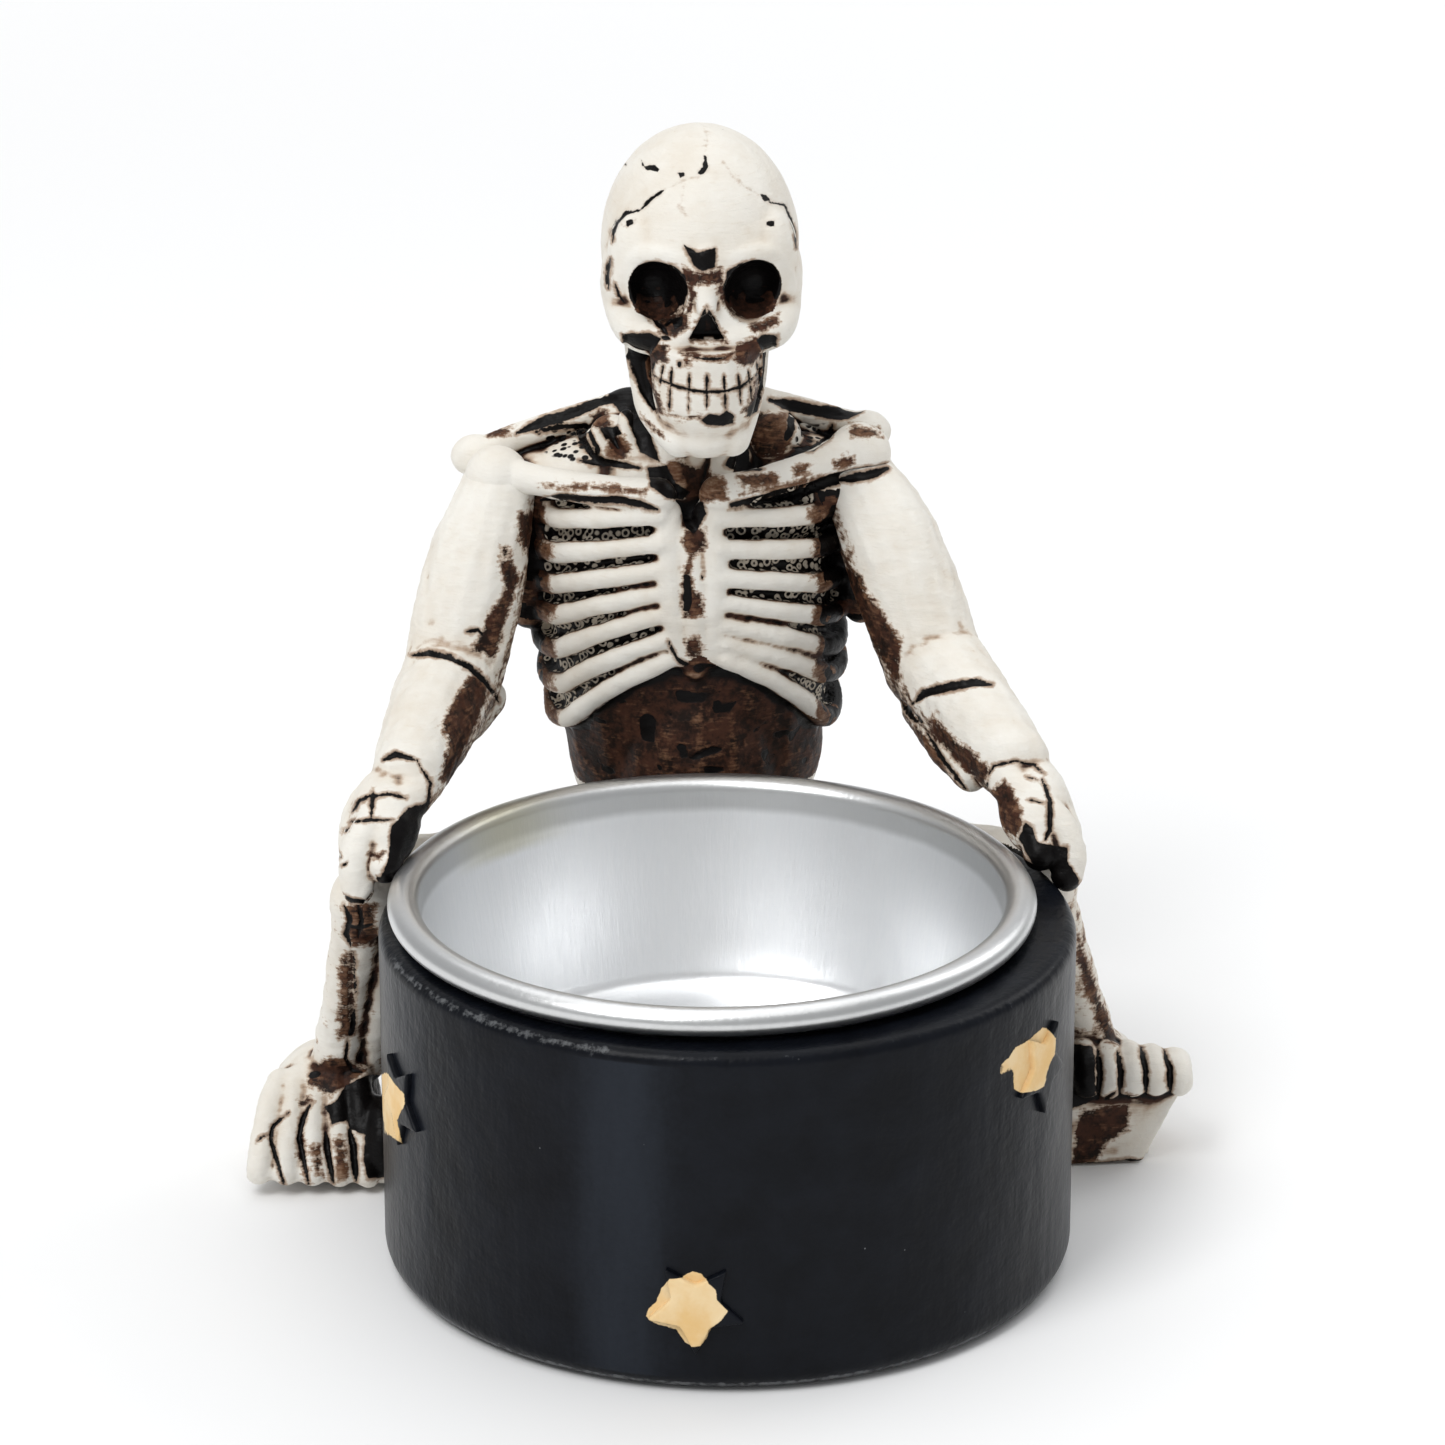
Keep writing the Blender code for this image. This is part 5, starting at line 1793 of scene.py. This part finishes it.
    def stain(self, skin: Skin, side: Side) -> None:
        """Stains a leg as other limbs, and browns its shin, on +X the most.

        Args:
            skin: the leg's skin.
            side: which side.
        """
        super().stain(skin, side)
        p, brown = skin.points, skin.layer(Ink.BROWN)
        shin = (np.abs(p[:, 0]) > 21) & (p[:, 2] > 9) & (p[:, 2] < 23)
        worn = lattice_noise(p, 1.1) * 0.25 + lattice_noise(p * (1, 1, 0.3), 0.5) * 0.25
        brown[shin] = np.maximum(brown[shin], worn[shin] + side.pick(-0.45, -0.22))


@dataclass
class Lathe:
    """A turned form."""

    profile: list[tuple[float, float]]
    steps: int
    shift: float

    @staticmethod
    def arc(centre: tuple, radius: float, start: float, end: float, points: int, rise: float = 0.0) -> list:
        """Points on an arc about a centre, its angles in degrees from straight out, its rise 0 for a circle."""
        turns = [math.radians(mixed(start, end, i / (points - 1))) for i in range(points)]
        return [(centre[0] + radius * math.cos(t), centre[1] + (rise or radius) * math.sin(t)) for t in turns]

    def mesh(self, name: str, longest: float = 0.8) -> bpy.types.Mesh:
        """Turns the profile about Z.

        Args:
            name: the mesh's name.
            longest: the longest run between rows of points.

        Returns:
            The mesh.
        """
        rows = [self.profile[0]]
        for start, end in zip(self.profile, self.profile[1:]):
            parts = max(1, round(math.dist(start, end) / longest))
            for i in range(1, parts + 1):
                rows.append((mixed(start[0], end[0], i / parts), mixed(start[1], end[1], i / parts)))
        bm = bmesh.new()
        turns = [2 * math.pi * i / self.steps for i in range(self.steps)]
        rings = []
        for radius, z in rows:
            if radius < 1e-6:
                rings.append([bm.verts.new((self.shift * MM, 0, z * MM))] * self.steps)
            else:
                ring = [(radius * math.cos(t) + self.shift, radius * math.sin(t), z) for t in turns]
                rings.append([bm.verts.new((x * MM, y * MM, z * MM)) for x, y, z in ring])
        for low, high in zip(rings, rings[1:]):
            for i in range(self.steps):
                j = (i + 1) % self.steps
                corners = list(dict.fromkeys((low[i], low[j], high[j], high[i])))
                if len(corners) > 2:
                    bm.faces.new(corners)
        bmesh.ops.recalc_face_normals(bm, faces=bm.faces)
        made = bpy.data.meshes.new(name)
        bm.to_mesh(made)
        bm.free()
        return made


@dataclass
class Pot:
    """The cast pot, a little uneven, with its well and three raised stars."""

    well: float = 21.8
    floor: float = 11.3
    reach: float = 3.6
    relief: float = 0.42
    star_detail: float = 0.1
    # how many times each wave goes round, how it climbs, and where it starts
    waves: tuple = ((3, 0.10, 0.4), (5, -0.16, 2.1), (8, 0.22, 4.0), (13, 0.35, 1.1), (21, -0.5, 5.2))
    # degrees from the front, width in degrees and strength of each strip of painted sheen
    sheen_strips: tuple = ((-20, 9, 0.9), (-68, 12, 0.5), (78, 7, 0.6))
    stars: tuple = ((-8.0, 6.65), (59.0, 18.9), (-70.5, 15.4))

    def body(self) -> Skin:
        """Turns the pot and makes its wall uneven.

        Returns:
            The skin.
        """
        s, arc, well, floor = SIZES, Lathe.arc, self.well, self.floor
        profile = [(0, floor), (well, floor), (well, s.pot_height - 0.2), (well + 0.2, s.pot_height)]
        profile += arc((s.pot_radius - 1.0, s.pot_height - 1.0), 1.0, 90, 0, 8)
        profile += arc((s.pot_radius - 1.5, 1.5), 1.5, 0, -90, 8)
        profile += [(0, 0)]
        skin = Skin(Lathe(profile, 256, s.pot_shift).mesh("pot", 0.6))
        p = skin.points
        turn = np.arctan2(p[:, 1], p[:, 0] - s.pot_shift)
        wave = np.zeros(skin.count)
        for k, climb, phase in self.waves:
            wave += np.sin(k * turn + climb * p[:, 2] + phase) / k**0.6
        across = np.hypot(p[:, 0] - s.pot_shift, p[:, 1])
        p[(across < well + 0.3) & (p[:, 2] > floor - 0.1), 0] += s.cup_shift - s.pot_shift
        skin.push(np.where((p[:, 2] > 0.4) & (across > 23), 0.028 * wave - 0.05, 0.0))
        return skin

    def star(self, clay: Clay, angle: float, z: float) -> None:
        """Adds a star, flat, to be wrapped round the wall.

        Args:
            clay: what it is added to.
            angle: degrees round from the front towards +X.
            z: height of its middle.
        """
        across = math.radians(angle) * SIZES.pot_radius
        bm = bmesh.new()
        corners = []
        for i in range(10):
            reach = self.reach if i % 2 == 0 else self.reach * 0.5
            turn = math.radians(36 * i + 180)
            corners.append(bm.verts.new((reach * math.sin(turn) * MM, 0, reach * math.cos(turn) * MM)))
        face = bm.faces.new(corners)
        solid = bmesh.ops.extrude_face_region(bm, geom=[face])
        moved = [v for v in solid["geom"] if isinstance(v, bmesh.types.BMVert)]
        bmesh.ops.translate(bm, verts=moved, vec=(0, 1.2 * MM, 0))
        bmesh.ops.recalc_face_normals(bm, faces=bm.faces)
        clay.add(bm, Matrix.Translation(Vector((across, -self.relief, z)) * MM))

    @staticmethod
    def gold() -> tuple[Mark, ...]:
        """The gold, brushed over the stars without care.

        Returns:
            The marks.
        """
        front = ((696, 1271), (704, 1275), (709, 1284), (716, 1290), (717, 1300), (728, 1311), (722, 1320), (709, 1330))
        front += ((707, 1338), (700, 1346), (690, 1347), (683, 1340), (676, 1328), (654, 1324), (645, 1317))
        front += ((648, 1309), (659, 1299), (659, 1291), (670, 1279), (681, 1278), (687, 1273))
        right = ((1044, 1026), (1056, 1038), (1055, 1054), (1049, 1066), (1044, 1087), (1035, 1091), (1023, 1093))
        right += ((1014, 1091), (1013, 1078), (1014, 1070), (1009, 1066), (1004, 1076), (1000, 1073), (1001, 1064))
        right += ((1011, 1056), (1014, 1048), (1028, 1041))
        left = ((377, 1076), (387, 1072), (394, 1083), (404, 1094), (405, 1104), (397, 1120), (401, 1138), (403, 1144))
        left += ((396, 1140), (390, 1135), (385, 1135), (383, 1115), (380, 1100), (378, 1086))
        return tuple(patch(*outline, ink=Ink.GOLD) for outline in (front, right, left))

    def build(self, finish: bpy.types.Material) -> None:
        """Makes the pot and its stars.

        Args:
            finish: their material.
        """
        s = SIZES
        pot = self.body()
        p = pot.points
        outside = np.hypot(p[:, 0] - s.pot_shift, p[:, 1])
        # paint is worn at the foot; along the upper edge a painted highlight, strongest on the left
        low = 1.0 - np.abs(p[:, 2] - 0.45) / 0.5
        turn = np.degrees(np.arctan2(p[:, 0] - s.pot_shift, -p[:, 1]))
        high = (1.0 - np.hypot(outside - 24.8, p[:, 2] - 25.3) / 0.7) * np.where(np.abs(turn + 50) < 28, 0.75, 0.3)
        # painted sheen: lighter upright strips on the wall
        painted_sheen = sum(np.exp(-(((turn - middle) / wide) ** 2)) * much for middle, wide, much in self.sheen_strips)
        pot.layers["painted_sheen"] = np.where((outside > 24) & (p[:, 2] > 1) & (p[:, 2] < 24.6), painted_sheen, 0.0)
        pot.layers["worn"] = np.clip(np.maximum(np.where(outside > 23, low, -1), high), 0, 1)
        pot.apply(self.gold())
        pot.finish()
        show("pot", pot.mesh, finish, CASTING)
        clay = Clay()
        for angle, z in self.stars:
            self.star(clay, angle, z)
        stars = clay.fused("stars", self.star_detail, ease=5, apart=True)
        turn = stars.points[:, 0] / s.pot_radius
        reach = s.pot_radius - stars.points[:, 1]
        stars.points[:, 0] = reach * np.sin(turn) + s.pot_shift
        stars.points[:, 1] = -reach * np.cos(turn)
        stars.store_points()
        stars.layers["worn"] = stars.layers["painted_sheen"] = np.zeros(stars.count)
        stars.apply(self.gold())
        stars.finish()
        show("stars", stars.mesh, finish, CASTING)


@dataclass
class Cup:
    """The spun cup, which hangs on its rolled rim."""

    depth: float = 13.8
    inner: float = 19.3
    mouth: float = 21.0
    rim: float = 23.3
    wall: float = 0.5
    groove: float = 13.5

    def build(self, finish: bpy.types.Material) -> None:
        """Makes the cup.

        Args:
            finish: its material.
        """
        s, arc = SIZES, Lathe.arc
        inner, mouth, wall = self.inner, self.mouth, self.wall
        seat = s.pot_height + 0.3
        floor = seat - self.depth
        groove = ((-0.9, 0.0), (-0.5, 0.14), (0.0, 0.42), (0.5, 0.14), (1.0, 0.0))
        profile = [(0, floor), *((self.groove + out, floor + up) for out, up in groove)]
        profile += arc((inner - 1.2, floor + 1.2), 1.2, -90, 0, 9)
        profile += arc((self.rim - 1.15, seat + 1.0), 1.15, 180, -90, 28, 1.0)
        profile += [(mouth + wall, seat)]
        profile += arc((inner - 1.2, floor + 1.2), 1.2 + wall, 0, -90, 9)
        profile += [(0, floor - wall)]
        skin = Skin(Lathe(profile, 192, s.cup_shift).mesh("cup", 0.9))
        p = skin.points
        turn = np.arctan2(p[:, 1], p[:, 0])
        across = np.hypot(p[:, 0] - s.cup_shift, p[:, 1])
        bead = (across > mouth - 0.2) & (p[:, 2] > seat - 0.1)
        # painted shade on the rolled rim, greyest towards its inner and outer edges
        skin.layers["rim"] = np.where(bead, 0.5 + np.abs(across - mouth - 1.15) * 0.55, 0.0)
        # painted reflection: yellow near the top at the back left
        skin.layers["yellow_reflection"] = np.where(p[:, 2] > 25, np.clip(1 - np.abs(turn - 2.35) / 0.35, 0, 1), 0)
        skin.finish()
        show("cup", skin.mesh, finish, CUP)


@dataclass
class Studio:
    """A white studio with a soft key light from the upper left."""

    fill: float = 0.47
    key: float = 4.3
    overhead: float = 5.0
    rim_share: float = 0.2
    sky: tuple = (0.97, 0.985, 1.0, 1.0)
    aim: tuple = (0, 0.01, 0.03)
    floor_size: float = 3.0
    floor_z: float = -0.0002

    def lamp(self, name: str, place: tuple, size: float, power: float) -> None:
        """Adds an area light that points at the object.

        Args:
            name: its name.
            place: metres.
            size: metres.
            power: watts.
        """
        data = bpy.data.lights.new(name, "AREA")
        data.energy = power
        data.shape = "RECTANGLE"
        data.size, data.size_y = size, size * 1.4
        lamp = linked(name, data)
        lamp.location = place
        lamp.rotation_euler = (Vector(self.aim) - Vector(place)).to_track_quat("-Z", "Y").to_euler()

    def build(self) -> None:
        """Makes the floor, the world and the lights."""
        scene = bpy.context.scene
        scene.view_settings.view_transform = "Standard"
        world = bpy.data.worlds.new("white_studio")
        world.use_nodes = True
        scene.world = world
        tree = world.node_tree
        soft = tree.nodes["Background"]
        soft.inputs["Color"].default_value = self.sky
        soft.inputs["Strength"].default_value = self.fill
        seen = tree.nodes.new("ShaderNodeBackground")
        seen.inputs["Color"].default_value = (1.0, 1.0, 1.0, 1.0)
        path, swap = tree.nodes.new("ShaderNodeLightPath"), tree.nodes.new("ShaderNodeMixShader")
        tree.links.new(path.outputs["Is Camera Ray"], swap.inputs[0])
        tree.links.new(soft.outputs[0], swap.inputs[1])
        tree.links.new(seen.outputs[0], swap.inputs[2])
        tree.links.new(swap.outputs[0], tree.nodes["World Output"].inputs["Surface"])
        mesh = bpy.data.meshes.new("floor")
        bm = bmesh.new()
        bmesh.ops.create_grid(bm, x_segments=1, y_segments=1, size=self.floor_size)
        bm.to_mesh(mesh)
        bm.free()
        mesh.materials.append(PlainFloor().material())
        floor = linked("floor", mesh)
        floor.location.z = self.floor_z
        self.lamp("key", (-0.38, -0.45, 0.80), 0.35, self.key)
        self.lamp("overhead", (0.0, 0.15, 1.1), 1.1, self.overhead)
        self.lamp("rim", (0.5, 0.35, 0.5), 0.3, self.key * self.rim_share)


def main() -> None:
    """Builds every piece, the studio and the camera."""
    logging.basicConfig(level=logging.INFO, format="%(message)s")
    bone = AgedBone().material()
    Skull().build(bone)
    Torso().build(bone)
    Arms().build(bone)
    Legs().build(bone)
    Pot().build(PotPaint().material())
    Cup().build(SpunMetal().material())
    Studio().build()
    VIEW.add_camera()


if __name__ == "__main__":
    main()
